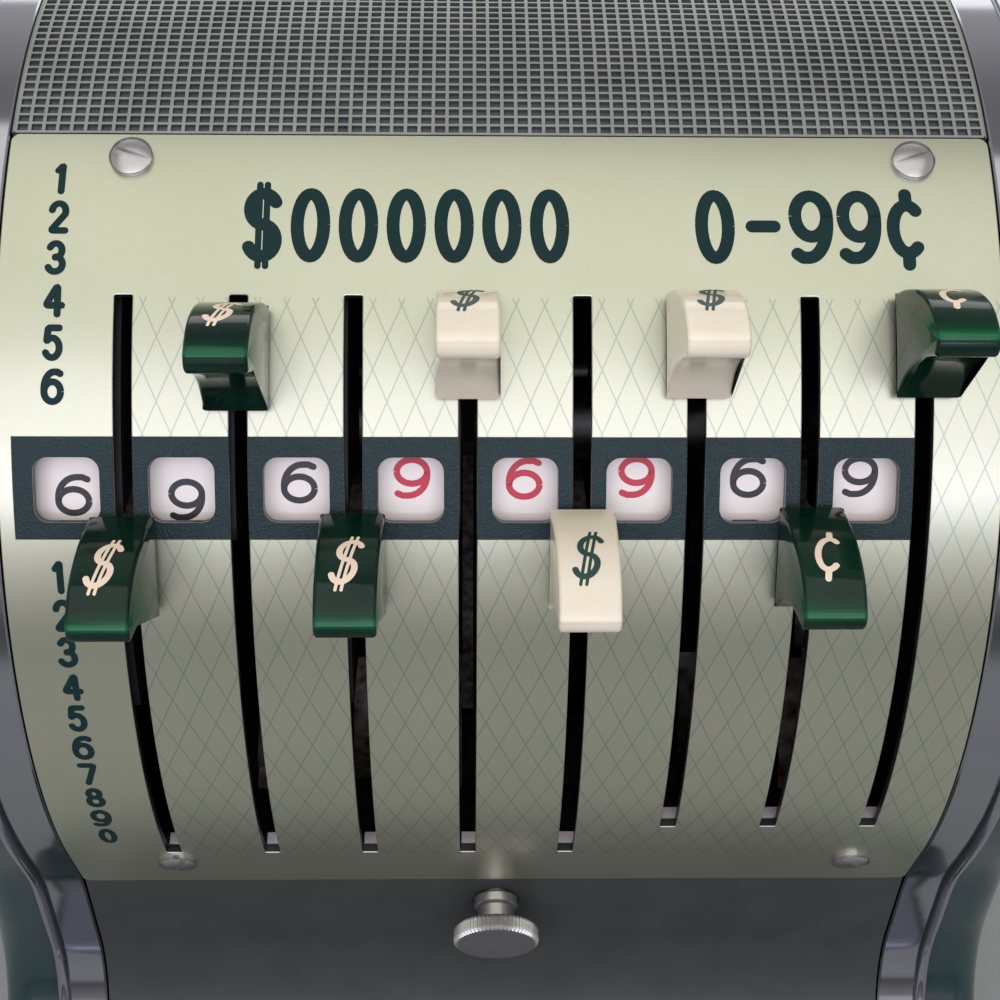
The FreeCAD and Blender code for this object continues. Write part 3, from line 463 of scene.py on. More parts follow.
def roundedRectangle(centre, width, height, radius, steps=6):
    points = []
    for sx, sy, start in ((1, 1, 0), (-1, 1, 90), (-1, -1, 180), (1, -1, 270)):
        cx, cy = centre[0] + sx * (width / 2 - radius), centre[1] + sy * (height / 2 - radius)
        for i in range(steps + 1):
            angle = start + 90 * i / steps
            points.append((cx + radius * degreesCos(angle), cy + radius * degreesSin(angle)))
    return points


def flatShape(name, loops, depth, bevel):
    # a filled flat curve with holes, given a thickness and rounded edges
    curve = bpy.data.curves.new(name, "CURVE")
    curve.dimensions = "2D"
    curve.fill_mode = "BOTH"
    curve.extrude = depth / 2 - bevel
    curve.bevel_depth = bevel
    curve.bevel_resolution = 1
    curve.offset = -bevel
    for loop in loops:
        spline = curve.splines.new("POLY")
        spline.points.add(len(loop) - 1)
        for point, (x, y) in zip(spline.points, loop):
            point.co = (x, y, 0, 1)
        spline.use_cyclic_u = True
    return addObject(name, curve)


def buildFacePlate():
    f = facePlate
    low = arcOf(outline["flatAngle"]) - outline["flatLength"]
    high = arcOf(outline["topAngle"])
    loops = [roundedRectangle((0, (low + high) / 2), 2 * plateHalf, high - low, f["cornerRadius"])]
    for x, end in zip(slotXs, f["slotEnds"]):
        top, bottom = arcOf(f["slotTop"]), arcOf(end)
        loops.append(roundedRectangle((x, (top + bottom) / 2), f["slotWidth"], top - bottom, 0.25 * mm, 2))
        loops.append(roundedRectangle((x + f["windowShift"], arcOf(f["windowAngle"])),
                                      f["windowSize"], f["windowSize"], f["windowCorner"]))
    holder = flatShape("facePlateFlat", loops, f["thickness"], f["edgeRound"])
    piece = toPiece(holder, "facePlate", finishes["plate"])
    while piece.data.uv_layers:
        piece.data.uv_layers.remove(piece.data.uv_layers[0])
    bm = bmesh.new()
    bm.from_mesh(piece.data)
    bmesh.ops.remove_doubles(bm, verts=bm.verts, dist=1e-7)
    cuts = int((high - low) / f["slice"])
    for i in range(1, cuts):
        level = low + (high - low) * i / cuts
        geometry = bm.verts[:] + bm.edges[:] + bm.faces[:]
        bmesh.ops.bisect_plane(bm, geom=geometry, dist=1e-8, plane_co=(0, level, 0), plane_no=(0, 1, 0))
    uvLayer = bm.loops.layers.uv.new("plateUV")
    bm.normal_update()
    for face in bm.faces:
        level = abs(face.normal.z)
        # face, bright rim, and the wall of the same cut edge painted dark as shade
        face.material_index = 0 if level > 0.8 else (1 if level > 0.1 else 2)
        for loop in face.loops:
            loop[uvLayer].uv = (loop.vert.co.x, loop.vert.co.y)
    for vertex in bm.verts:
        vertex.co = onPlate(vertex.co.x, vertex.co.y, vertex.co.z - f["thickness"] / 2)
    bmesh.ops.recalc_face_normals(bm, faces=bm.faces)
    bm.to_mesh(piece.data)
    bm.free()
    piece.data.materials.append(finishes["cutEdge"])
    piece.data.materials.append(finishes["cutWall"])
    softShade(piece.data, 15)
    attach(piece, "housing")
    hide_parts("face_plate")


buildFacePlate()
print("stage: face plate")


# marks: plain figures and signs drawn with a round pen
def bow(cx, cy, rx, ry, start, end, steps=18):
    return [(cx + rx * degreesCos(start + (end - start) * i / steps),
             cy + ry * degreesSin(start + (end - start) * i / steps)) for i in range(steps + 1)]


def turnedHalf(strokes):
    return [[(1 - x, 1 - y) for x, y in stroke] for stroke in strokes]


sixStrokes = [bow(0.5, 0.33, 0.5, 0.33, 0, 360, 32),
              [(0.97, 0.93), (0.80, 0.99), (0.62, 0.99)] + bow(0.62, 0.42, 0.62, 0.57, 95, 180, 14)
              + [(0.0, 0.33)]]
glyphs = {
    "0": [bow(0.5, 0.5, 0.42, 0.5, 0, 360, 32)],
    "1": [[(0.25, 0.8), (0.52, 1.0), (0.52, 0.0)]],
    "2": [bow(0.5, 0.7, 0.42, 0.3, 170, -20) + [(0.08, 0.0), (0.95, 0.0)]],
    "3": [bow(0.47, 0.75, 0.38, 0.25, 155, -90), bow(0.47, 0.26, 0.45, 0.26, 90, -155)],
    "4": [[(0.72, 0.0), (0.72, 1.0), (0.02, 0.3), (0.98, 0.3)]],
    "5": [[(0.88, 1.0), (0.22, 1.0), (0.14, 0.56)] + bow(0.46, 0.33, 0.44, 0.33, 115, -150)],
    "6": sixStrokes,
    "7": [[(0.06, 1.0), (0.94, 1.0), (0.36, 0.0)]],
    "8": [bow(0.5, 0.755, 0.36, 0.245, 0, 360, 28), bow(0.5, 0.27, 0.45, 0.27, 0, 360, 28)],
    "9": turnedHalf(sixStrokes),
    "$": [bow(0.52, 0.75, 0.42, 0.25, 25, 265, 16) + bow(0.48, 0.25, 0.44, 0.25, 85, -155, 16),
          [(0.38, -0.15), (0.38, 1.15)], [(0.62, -0.15), (0.62, 1.15)]],
    "-": [[(0.15, 0.5), (0.85, 0.5)]],
    "*": [[(0.5, 0.08), (0.5, 0.92)], [(0.06, 0.29), (0.94, 0.71)], [(0.06, 0.71), (0.94, 0.29)]],
    "c": [bow(0.5, 0.47, 0.45, 0.38, 50, 310, 22), [(0.5, -0.09), (0.5, 0.09)], [(0.5, 0.85), (0.5, 1.03)]],
}
strokeWeights = {"$": (1.0, 0.5, 0.5)}


def penRibbon(bm, points, half, placer):
    # a flat ribbon of even width with round ends, placed by placer(x, y)
    left, right = [], []
    count = len(points)
    for i, point in enumerate(points):
        before, after = points[max(0, i - 1)], points[min(count - 1, i + 1)]
        along = Vector((after[0] - before[0], after[1] - before[1]))
        if along.length < 1e-9:
            along = Vector((1, 0))
        along.normalize()
        left.append((point[0] - along.y * half, point[1] + along.x * half))
        right.append((point[0] + along.y * half, point[1] - along.x * half))
    rows = [[bm.verts.new(placer(*a)), bm.verts.new(placer(*b))] for a, b in zip(left, right)]
    for a, b in zip(rows, rows[1:]):
        bm.faces.new((a[0], a[1], b[1], b[0]))
    closed = (Vector(points[0]) - Vector(points[-1])).length < half * 0.2
    if not closed:
        for tip, near in ((points[0], points[1]), (points[-1], points[-2])):
            back = math.atan2(tip[1] - near[1], tip[0] - near[0])
            turns = [back + math.pi * (i / 8 - 0.5) for i in range(9)]
            fan = [bm.verts.new(placer(tip[0] + half * math.cos(turn), tip[1] + half * math.sin(turn)))
                   for turn in turns]
            bm.faces.new(fan)


def drawGlyph(bm, sign, corner, width, height, pen, placer, slant=0.0):
    weights = strokeWeights.get(sign, (1.0,) * len(glyphs[sign]))
    for stroke, weight in zip(glyphs[sign], weights):
        points = [(corner[0] + x * width + slant * y * height, corner[1] + y * height) for x, y in stroke]
        penRibbon(bm, evenlySpaced(smoothCorners(points), 0.4 * mm), pen * weight / 2, placer)


def evenlySpaced(points, longest):
    # puts more points on the long runs, so that the stroke can follow a curved surface
    spaced = [points[0]]
    for before, here in zip(points, points[1:]):
        count = max(1, math.ceil((Vector(here) - Vector(before)).length / longest))
        for i in range(1, count + 1):
            spaced.append(tuple(Vector(before).lerp(Vector(here), i / count)))
    return spaced


def smoothCorners(points, reach=0.18):
    # rounds the sharp turns of a pen stroke
    rounded = [points[0]]
    for before, here, after in zip(points, points[1:], points[2:]):
        a, b = Vector(before) - Vector(here), Vector(after) - Vector(here)
        if a.length < 1e-9 or b.length < 1e-9:
            continue
        if abs(a.angle(b)) > math.radians(150):
            rounded.append(tuple(here))
            continue
        size = min(a.length, b.length) * reach
        start, end = Vector(here) + a.normalized() * size, Vector(here) + b.normalized() * size
        for i in range(5):
            t = i / 4
            rounded.append(tuple(start * (1 - t) ** 2 + Vector(here) * 2 * t * (1 - t) + end * t ** 2))
    rounded.append(points[-1])
    return rounded


def markMesh(bm, name, material, body, centre=shaftCentre, sideways=0):
    # the faces turn away from the centre, or from the line through it along X where sideways is 0
    bm.normal_update()
    flipped = []
    for face in bm.faces:
        away = face.calc_center_median() - centre
        away.x *= sideways
        if face.normal.dot(away) < 0:
            flipped.append(face)
    bmesh.ops.reverse_faces(bm, faces=flipped)
    piece = addMesh(bm, name, material)
    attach(piece, body)


plateMarks = {
    "lift": 0.04 * mm,
    "headingHeight": 0.60 * pitch,
    "headingBase": bandAngle + math.degrees(2.245 * pitch / plateRadius),
    "headingPen": 0.115 * pitch,
    "dollarZone": (0.98, 3.93),      # in lever pitches from the first slot
    "centZone": (4.97, 7.11),
    "dollarSigns": "$000000",
    "centSigns": "0-99c",
    "scaleX": -0.60,
    "scaleHeight": 0.26 * pitch,
    "scalePen": 0.062 * pitch,
    "upperScale": ("123456", -3.12, -0.83),
    "lowerScale": ("1234567890", 0.48, 4.2),
}


def signRow(bm, signs, zone, base, height, pen, placer):
    left, right = slotXs[0] + zone[0] * pitch, slotXs[0] + zone[1] * pitch
    step = (right - left) / len(signs)
    width = min(step * 0.66, height * 0.62)
    for i, sign in enumerate(signs):
        corner = left + step * (i + 0.5) - width / 2
        drawGlyph(bm, sign, (corner, base), width, height, pen, placer)


def buildPlateMarks():
    m = plateMarks
    bm = bmesh.new()

    def placer(x, y):
        return onPlate(x, y, m["lift"])

    base = arcOf(m["headingBase"])
    signRow(bm, m["dollarSigns"], m["dollarZone"], base, m["headingHeight"], m["headingPen"], placer)
    signRow(bm, m["centSigns"], m["centZone"], base, m["headingHeight"], m["headingPen"], placer)
    for signs, first, last in (m["upperScale"], m["lowerScale"]):
        step = (last - first) * pitch / len(signs)
        for i, sign in enumerate(signs):
            top = arcOf(bandAngle) - first * pitch - step * i
            width = m["scaleHeight"] * 0.55
            corner = (slotXs[0] + m["scaleX"] * pitch - width / 2, top - m["scaleHeight"])
            drawGlyph(bm, sign, corner, width, m["scaleHeight"], m["scalePen"], placer)
    markMesh(bm, "plateMarks", finishes["lettering"], "housing")


buildPlateMarks()
print("stage: plate marks")


# number segments and their figures
figures = {
    "width": 0.27 * pitch,
    "height": 0.325 * pitch,
    "pen": 0.058 * pitch,
    "lift": 0.03 * mm,
    "radius": 82.5 * mm,
    "redColumns": (4, 5, 6),
    "signs": "9876543210",
    "starColumns": (1, 2, 3, 4, 5),  # their levers reach one step below the nought
    "shifts": [0.4, 0.0, 1.8, 1.6, 1.8, 1.6, 1.8, 1.6],     # each card's own place, mm up its drum
    "cardGap": 2.6 * mm,
}


def buildFigures(column):
    g = figures
    bm = bmesh.new()
    x = slotXs[column] + facePlate["windowShift"]
    rest = restAngles[column]

    def placerAt(middle):
        def placer(px, py):
            point = shaftCentre + outward(middle + math.degrees(py / g["radius"])) * (g["radius"] + g["lift"])
            return Vector((px, point.y, point.z))
        return placer

    signs = g["signs"] + ("*" if column + 1 in g["starColumns"] else "")
    for i, sign in enumerate(signs):
        middle = (rest + facePlate["windowAngle"] - leverTop + digitStep * i
                  + math.degrees(g["shifts"][column] * mm / g["radius"]))
        corner = (x - g["width"] / 2, -g["height"] / 2)
        drawGlyph(bm, sign, corner, g["width"], g["height"], g["pen"], placerAt(middle))
    ink = finishes["redInk"] if column + 1 in g["redColumns"] else finishes["blackInk"]
    markMesh(bm, f"figures_{column + 1}", ink, f"lever_{column + 1}")


def buildNumberSegment(column):
    # a blackened drum with a light card round it, which ends beside the slot
    bm = bmesh.new()
    bm.from_mesh(frame["nodes"][f"number_segment_{column + 1}"].data)
    cardEnd = slotXs[column] - figures["cardGap"]
    geometry = bm.verts[:] + bm.edges[:] + bm.faces[:]
    bmesh.ops.bisect_plane(bm, geom=geometry, dist=1e-7, plane_co=(cardEnd, 0, 0), plane_no=(1, 0, 0))
    piece = finishMesh(bm, f"numberSegment_{column + 1}", finishes["card"])
    piece.data.materials.append(finishes["darkSteel"])
    for face in piece.data.polygons:
        offset = face.center - shaftCentre
        if math.hypot(offset.y, offset.z) < figures["radius"] - 0.2 * mm or face.center.x > cardEnd:
            face.material_index = 1
    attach(piece, f"lever_{column + 1}")
    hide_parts(f"number_segment_{column + 1}")


for column in range(len(slotXs)):
    buildNumberSegment(column)
    buildFigures(column)
print("stage: figures")


# finger tabs
fingerTab = {
    "footWidth": 9.0 * mm,
    "lipWidth": 8.2 * mm,
    "height": 20.4 * mm,
    "edgeRound": 0.55 * mm,
    # side outline in mm: along the slot, off the plate
    "back": [(-1.9, 1.6), (-1.2, 6.3), (0.6, 12.5), (3.2, 17.5), (6.4, 20.25)],
    "nose": [(7.5, 20.3), (8.35, 19.75), (8.75, 18.9)],
    "front": [(8.75, 18.2), (8.5, 12.5), (9.7, 6.4), (12.4, 1.6)],
    "ivoryColumns": (4, 5, 6),
    "centColumns": (7, 8),
    # the highlight painted at the lip: mm along the back, strength
    "lipGlow": [(19.4, 0.0), (20.7, 0.2), (21.3, 0.8), (21.7, 0.8), (22.1, 0.1), (22.4, 0.0)],
    "signHeight": 7.4 * mm,
    "signWidth": 3.3 * mm,
    "signPen": 0.86 * mm,
    "signSlant": 0.18,
    "signMiddle": 0.508,
    "heart": (5, 5),                 # a place inside the tab, mm along the slot and off the plate
}


def curveThrough(points, steps):
    # a Catmull-Rom curve through the points
    padded = [points[0]] + list(points) + [points[-1]]
    made = []
    for p0, p1, p2, p3 in zip(padded, padded[1:], padded[2:], padded[3:]):
        a, b, c, d = Vector(p0), Vector(p1), Vector(p2), Vector(p3)
        for i in range(steps):
            t = i / steps
            made.append(0.5 * (2 * b + (c - a) * t + (2 * a - 5 * b + 4 * c - d) * t * t
                               + (3 * b - a - 3 * c + d) * t ** 3))
    made.append(Vector(points[-1]))
    return made


def tabOutline():
    t = fingerTab
    back = curveThrough(t["back"] + t["nose"] + t["front"][:1], 6)
    front = curveThrough(t["front"], 6)
    end, start = Vector(t["front"][-1]), Vector(t["back"][0])
    floor = [end.lerp(start, i / 10) for i in range(1, 10)]
    return back, back[:-1] + front + floor


def runLengths(points):
    lengths = [0.0]
    for a, b in zip(points, points[1:]):
        lengths.append(lengths[-1] + (b - a).length)
    return lengths


def between(stops, value):
    # straight runs between (place, strength) stops
    for (a, low), (b, high) in zip(stops, stops[1:]):
        if a <= value <= b:
            return low + (high - low) * (value - a) / (b - a)
    return 0.0


def tabPoint(x, along, height, rest):
    angle = rest - math.degrees(along * mm / plateRadius)
    point = shaftCentre + outward(angle) * (plateRadius + height * mm)
    return Vector((x, point.y, point.z))


def buildTab(column):
    t = fingerTab
    x, rest = slotXs[column], restAngles[column]
    back, loop = tabOutline()
    bm = bmesh.new()
    highlightLayer = bm.verts.layers.float.new("lipShare")
    r = t["edgeRound"]
    sides = []
    for side in (-1, 1):
        rings = []
        for i in range(5):
            angle = 90 * i / 4
            inset = r * (1 - degreesSin(angle)) / mm
            ring = []
            for k, point in enumerate(loop):
                along = (loop[(k + 1) % len(loop)] - loop[k - 1]).normalized()
                inward = Vector((along.y, -along.x))
                share = point.y * mm / t["height"]
                half = (t["footWidth"] * (1 - share) + t["lipWidth"] * share) / 2
                shift = half - r * (1 - degreesCos(angle))
                ring.append(tabPoint(x + side * shift, *(point + inward * inset), rest))
            rings.append(ring)
        sides.append(rings)
    made = tube(bm, sides[0] + list(reversed(sides[1])))
    # the painted lip highlight, stored on the points along the tab's back
    lengths = runLengths(back)
    for ring in made:
        for k, vertex in enumerate(ring[:len(lengths)]):
            vertex[highlightLayer] = between(t["lipGlow"], lengths[k])
    ivory = column + 1 in t["ivoryColumns"]
    piece = finishMesh(bm, f"fingerTab_{column + 1}", finishes["ivory" if ivory else "green"])
    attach(piece, f"lever_{column + 1}")
    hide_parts(f"lever_tab_{column + 1}")
    buildTabSign(column, back, rest, ivory)


def buildTabSign(column, back, rest, ivory):
    t = fingerTab
    lengths = runLengths(back)
    middle = lengths[-1] * t["signMiddle"]

    def placer(px, py):
        wanted = middle - py / mm
        k = max(i for i, value in enumerate(lengths[:-1]) if value <= max(0.0, wanted))
        share = (wanted - lengths[k]) / (lengths[k + 1] - lengths[k])
        point = back[k].lerp(back[k + 1], share)
        along = (back[k + 1] - back[k]).normalized()
        point = point + Vector((-along.y, along.x)) * 0.03
        return tabPoint(px, point.x, point.y, rest)

    bm = bmesh.new()
    sign = "c" if column + 1 in t["centColumns"] else "$"
    corner = (slotXs[column] - (t["signWidth"] + t["signSlant"] * t["signHeight"]) / 2, -t["signHeight"] / 2)
    drawGlyph(bm, sign, corner, t["signWidth"], t["signHeight"], t["signPen"], placer, t["signSlant"])
    ink = finishes["greenInk" if ivory else "creamInk"]
    heart = tabPoint(slotXs[column], *t["heart"], rest)
    markMesh(bm, f"tabSign_{column + 1}", ink, f"lever_{column + 1}", heart, 1)


for column in range(len(slotXs)):
    buildTab(column)
print("stage: finger tabs")


# screws
panScrew = {
    "headRadius": 3.05 * mm,
    "headHeight": 1.2 * mm,
    "crown": 0.65 * mm,           # the head's rim lies this far below its middle
    "crownPower": 2.6,
    "slotWidth": 0.9 * mm,
    "slotDepth": 0.5 * mm,
    "shankRadius": 1.7 * mm,
    "shankLength": 3.2 * mm,
    "highSeat": 2.75,             # degrees below the face plate's upper edge
    "lowSeat": 3.0 * mm,          # below the start of its straight part
    "plateTurns": (-20, 20, 62, -35),       # upper left, upper right, lower left, lower right
    "rearX": 58.0 * mm,
    "rearAngle": 154.0,
    "rearRise": 12.0 * mm,
    "rearTurns": (15, -40, 70, 5),
    "sidePlaces": ((-62.0, 118.0), (40.0, 152.0), (84.0, 62.0)),       # y and z, mm
    "sideTurns": (25, -50, 80),
}


# Geometry Nodes helpers
def vectorIn(*values):
    return node(treeOf(*values), "ShaderNodeCombineXYZ", dict(enumerate(values)))


def startTree(name, inputs):
    # a Geometry Nodes tree whose named inputs are lengths, counts, a finish and the points it stands on
    tree = bpy.data.node_groups.new(name, "GeometryNodeTree")
    kinds = {"Finish": "NodeSocketMaterial", "Geometry": "NodeSocketGeometry", "Teeth": "NodeSocketInt",
             "Columns": "NodeSocketInt", "Rows": "NodeSocketInt"}
    for item in inputs:
        tree.interface.new_socket(item, in_out="INPUT", socket_type=kinds.get(item, "NodeSocketFloat"))
    tree.interface.new_socket("Geometry", in_out="OUTPUT", socket_type="NodeSocketGeometry")
    given = tree.nodes.new("NodeGroupInput").outputs
    return tree, {item: Flow(tree, given[item]) for item in inputs}


def endTree(tree, instances, given):
    real = node(tree, "GeometryNodeRealizeInstances", {"Geometry": instances})
    shown = node(tree, "GeometryNodeSetMaterial", {"Geometry": real, "Material": given["Finish"]})
    feed(tree, tree.nodes.new("NodeGroupOutput").inputs["Geometry"], shown)
    return tree


def onPoints(tree, given, shape):
    # sets the shape on each point, its Z along the point's direction, turned about it
    direction, turn = [node(tree, "GeometryNodeInputNamedAttribute", {"Name": name}, "Attribute",
                            data_type=kind)
                       for name, kind in (("direction", "FLOAT_VECTOR"), ("turn", "FLOAT"))]
    align = node(tree, "FunctionNodeAlignRotationToVector", {"Vector": direction}, axis="Z")
    spin = node(tree, "FunctionNodeAxisAngleToRotation", {"Axis": (0, 0, 1), "Angle": turn})
    turned = node(tree, "FunctionNodeRotateRotation", {"Rotation": align, "Rotate By": spin},
                  rotation_space="LOCAL")
    return node(tree, "GeometryNodeInstanceOnPoints",
                {"Points": given["Geometry"], "Instance": shape, "Rotation": turned})


def cylinderIn(tree, vertices, sides, rings, radius, depth):
    feeds = {"Vertices": vertices, "Side Segments": sides, "Fill Segments": rings, "Radius": radius,
             "Depth": depth}
    return node(tree, "GeometryNodeMeshCylinder", feeds, "Mesh", fill_type="TRIANGLE_FAN")


def movedIn(shape, z):
    return node(shape.tree, "GeometryNodeTransform", {"Geometry": shape, "Translation": vectorIn(0, 0, z)})


def joinIn(*shapes):
    tree = treeOf(*shapes)
    join = tree.nodes.new("GeometryNodeJoinGeometry")
    for shape in shapes:
        feed(tree, join.inputs[0], shape)
    return Flow(tree, join.outputs[0])


def radialIn(tree):
    # the point's place, split, with its distance from the axis
    x, y, z = splitVector(tree, node(tree, "GeometryNodeInputPosition", {}))
    return x, y, z, reckon("SQRT", x * x + y * y)


def setPlace(shape, x, y, z):
    return node(shape.tree, "GeometryNodeSetPosition", {"Geometry": shape, "Position": vectorIn(x, y, z)})


def screwTree():
    # crowned slotted heads with their shanks
    tree, given = startTree("slottedScrews", ["Geometry", "Head Radius", "Head Height", "Crown", "Slot Width",
                                              "Slot Depth", "Shank Radius", "Shank Length", "Finish"])
    blank = cylinderIn(tree, 44, 3, 7, given["Head Radius"], given["Head Height"])
    x, y, z, radius = radialIn(tree)
    share = reckon("POWER", radius / given["Head Radius"], panScrew["crownPower"])
    upper = reckon("GREATER_THAN", z, given["Head Height"] * 0.4)
    domed = setPlace(blank, x, y, z - share * given["Crown"] * upper)
    size = vectorIn(given["Head Radius"] * 2.4, given["Slot Width"], given["Slot Depth"] * 2.0)
    cutter = movedIn(node(tree, "GeometryNodeMeshCube", {"Size": size}), given["Head Height"])
    head = node(tree, "GeometryNodeMeshBoolean", {0: movedIn(domed, given["Head Height"] * 0.5), 1: cutter},
                operation="DIFFERENCE", solver="MANIFOLD")
    shank = cylinderIn(tree, 24, 1, 1, given["Shank Radius"], given["Shank Length"])
    screw = joinIn(head, movedIn(shank, given["Shank Length"] * -0.5))
    return endTree(tree, onPoints(tree, given, screw), given)


def runTree(tree, holder, name, values):
    # gives the tree its values, bakes what it makes into a plain mesh and drops the holder
    modifier = holder.modifiers.new("maker", "NODES")
    modifier.node_group = tree
    sockets = {item.name: item.identifier for item in tree.interface.items_tree if item.in_out == "INPUT"}
    for key, value in values.items():
        modifier[sockets[key]] = value
    return toPiece(holder, name, values["Finish"])


def pointsHolder(name, seats):
    # a mesh of loose points with a direction and a turn each
    mesh = bpy.data.meshes.new(name)
    mesh.from_pydata([place for place, _, _ in seats], [], [])
    mesh.attributes.new("direction", "FLOAT_VECTOR", "POINT")
    mesh.attributes.new("turn", "FLOAT", "POINT")
    for i, (_, direction, turn) in enumerate(seats):
        mesh.attributes["direction"].data[i].vector = direction
        mesh.attributes["turn"].data[i].value = math.radians(turn)
    return addObject(name, mesh)


def screwSeats():
    s = panScrew
    ends = (slotXs[0], slotXs[-1])
    high = outline["topAngle"] - s["highSeat"]
    low = outline["flatAngle"]
    seats = [(Vector((x, 0, 0)) + shaftCentre + outward(high) * plateRadius, outward(high)) for x in ends]
    seats += [(Vector((x, 0, 0)) + flatStart + downward(low) * s["lowSeat"], outward(low)) for x in ends]
    rearEnd, rearNormal = housingPath(0)[-1]
    rearDown = downward(outline["rearAngle"])
    baseTop = boxOf("base")[1].z
    lowRear = rearEnd + rearDown * ((baseTop + s["rearRise"] - rearEnd.z) / rearDown.z)
    highRear = shaftCentre + outward(s["rearAngle"]) * plateRadius
    for spot, normal in ((highRear, outward(s["rearAngle"])), (lowRear, rearNormal)):
        seats += [(Vector((side * s["rearX"], spot.y, spot.z)), normal) for side in (-1, 1)]
    coverOuter = boxOf("right_side_cover")[1].x
    for side in (-1, 1):
        seats += [(Vector((side * coverOuter, y * mm, z * mm)), Vector((side, 0, 0)))
                  for y, z in s["sidePlaces"]]
    turns = s["plateTurns"] + s["rearTurns"] + s["sideTurns"] * 2
    return [(place, direction, turn) for (place, direction), turn in zip(seats, turns)]


def buildScrews():
    s = panScrew
    values = {"Head Radius": s["headRadius"], "Head Height": s["headHeight"], "Crown": s["crown"],
              "Slot Width": s["slotWidth"], "Slot Depth": s["slotDepth"], "Shank Radius": s["shankRadius"],
              "Shank Length": s["shankLength"], "Finish": finishes["nickel"]}
    piece = runTree(screwTree(), pointsHolder("panScrewPoints", screwSeats()), "panScrews", values)
    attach(piece, "housing")
    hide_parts("pan_screws")


buildScrews()
print("stage: screws")


# thumb screw
thumbScrew = {
    "gap": 0.2 * mm,
    "collarRadius": 3.75 * mm,
    "collarHeight": 2.0 * mm,
    "neckRadius": 3.5 * mm,
    "neckLength": 3.5 * mm,
    "headRadius": 7.3 * mm,
    "headHeight": 2.8 * mm,
    "headRound": 0.45 * mm,
    "teeth": 64,
    "toothDepth": 0.32 * mm,
    "rimPower": 14.0,             # higher keeps the teeth nearer the rim
    "roundPower": 6.0,            # higher keeps the rounding nearer the edges
    "shankRadius": 2.5 * mm,
    "shankLength": 3.0 * mm,
}


def knurlTree():
    # a disc with a toothed, rounded rim
    tree, given = startTree("knurledDisc", ["Geometry", "Teeth", "Radius", "Height", "Tooth Depth", "Round",
                                            "Finish"])
    blank = cylinderIn(tree, given["Teeth"] * 6.0, 8, 5, given["Radius"], given["Height"])
    x, y, z, radius = radialIn(tree)
    rim = reckon("POWER", radius / given["Radius"], thumbScrew["rimPower"])
    wave = reckon("COSINE", reckon("ARCTAN2", y, x) * given["Teeth"])
    tooth = (wave * 0.5 + 0.5) * given["Tooth Depth"]
    level = reckon("ABSOLUTE", z / (given["Height"] * 0.5))
    corner = reckon("POWER", level, thumbScrew["roundPower"]) * given["Round"]
    shrunk = reckon("SUBTRACT", 1.0, rim * (tooth + corner) / given["Radius"])
    shaped = setPlace(blank, x * shrunk, y * shrunk, z)
    return endTree(tree, onPoints(tree, given, shaped), given)


def buildThumbScrew():
    t = thumbScrew
    joint = next(joint for joint in frame["joints"] if joint["name"] == "thumb_screw_turn")
    seat, direction = Vector(joint["pos_m"]), Vector(joint["axis"])
    collarEnd = t["gap"] + t["collarHeight"]
    headStart = collarEnd + t["neckLength"]
    soft = 0.3 * mm
    profile = [(-t["shankLength"], t["shankRadius"]), (t["gap"], t["shankRadius"]),
               (t["gap"], t["collarRadius"] - soft), (t["gap"] + soft, t["collarRadius"]),
               (collarEnd - soft, t["collarRadius"]), (collarEnd, t["collarRadius"] - soft),
               (collarEnd + soft / 2, t["neckRadius"] - soft), (headStart - soft, t["neckRadius"] - soft),
               (headStart, t["neckRadius"])]
    neck = turnedPiece("thumbScrewNeck", profile, seat, direction, finishes["nickel"])
    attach(neck, "thumb_screw")
    middle = seat + direction * (headStart + t["headHeight"] / 2)
    values = {"Teeth": t["teeth"], "Radius": t["headRadius"], "Height": t["headHeight"],
              "Tooth Depth": t["toothDepth"], "Round": t["headRound"], "Finish": finishes["nickel"]}
    head = runTree(knurlTree(), pointsHolder("thumbScrewPoint", [(middle, direction, 0)]), "thumbScrewHead",
                   values)
    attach(head, "thumb_screw")
    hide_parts("thumb_screw")


buildThumbScrew()
print("stage: thumb screw")


# ribbed grid cover
gridCover = {
    "pitchX": 0.125 * pitch,
    "pitchArc": 0.098 * pitch,
    "ribX": 0.5 * mm,
    "ribArc": 0.4 * mm,
    "ribHeight": 0.55 * mm,
    "wellDepth": 0.6 * mm,
    "border": 0.3 * mm,
    "bottomRib": 0.27 * mm,
}


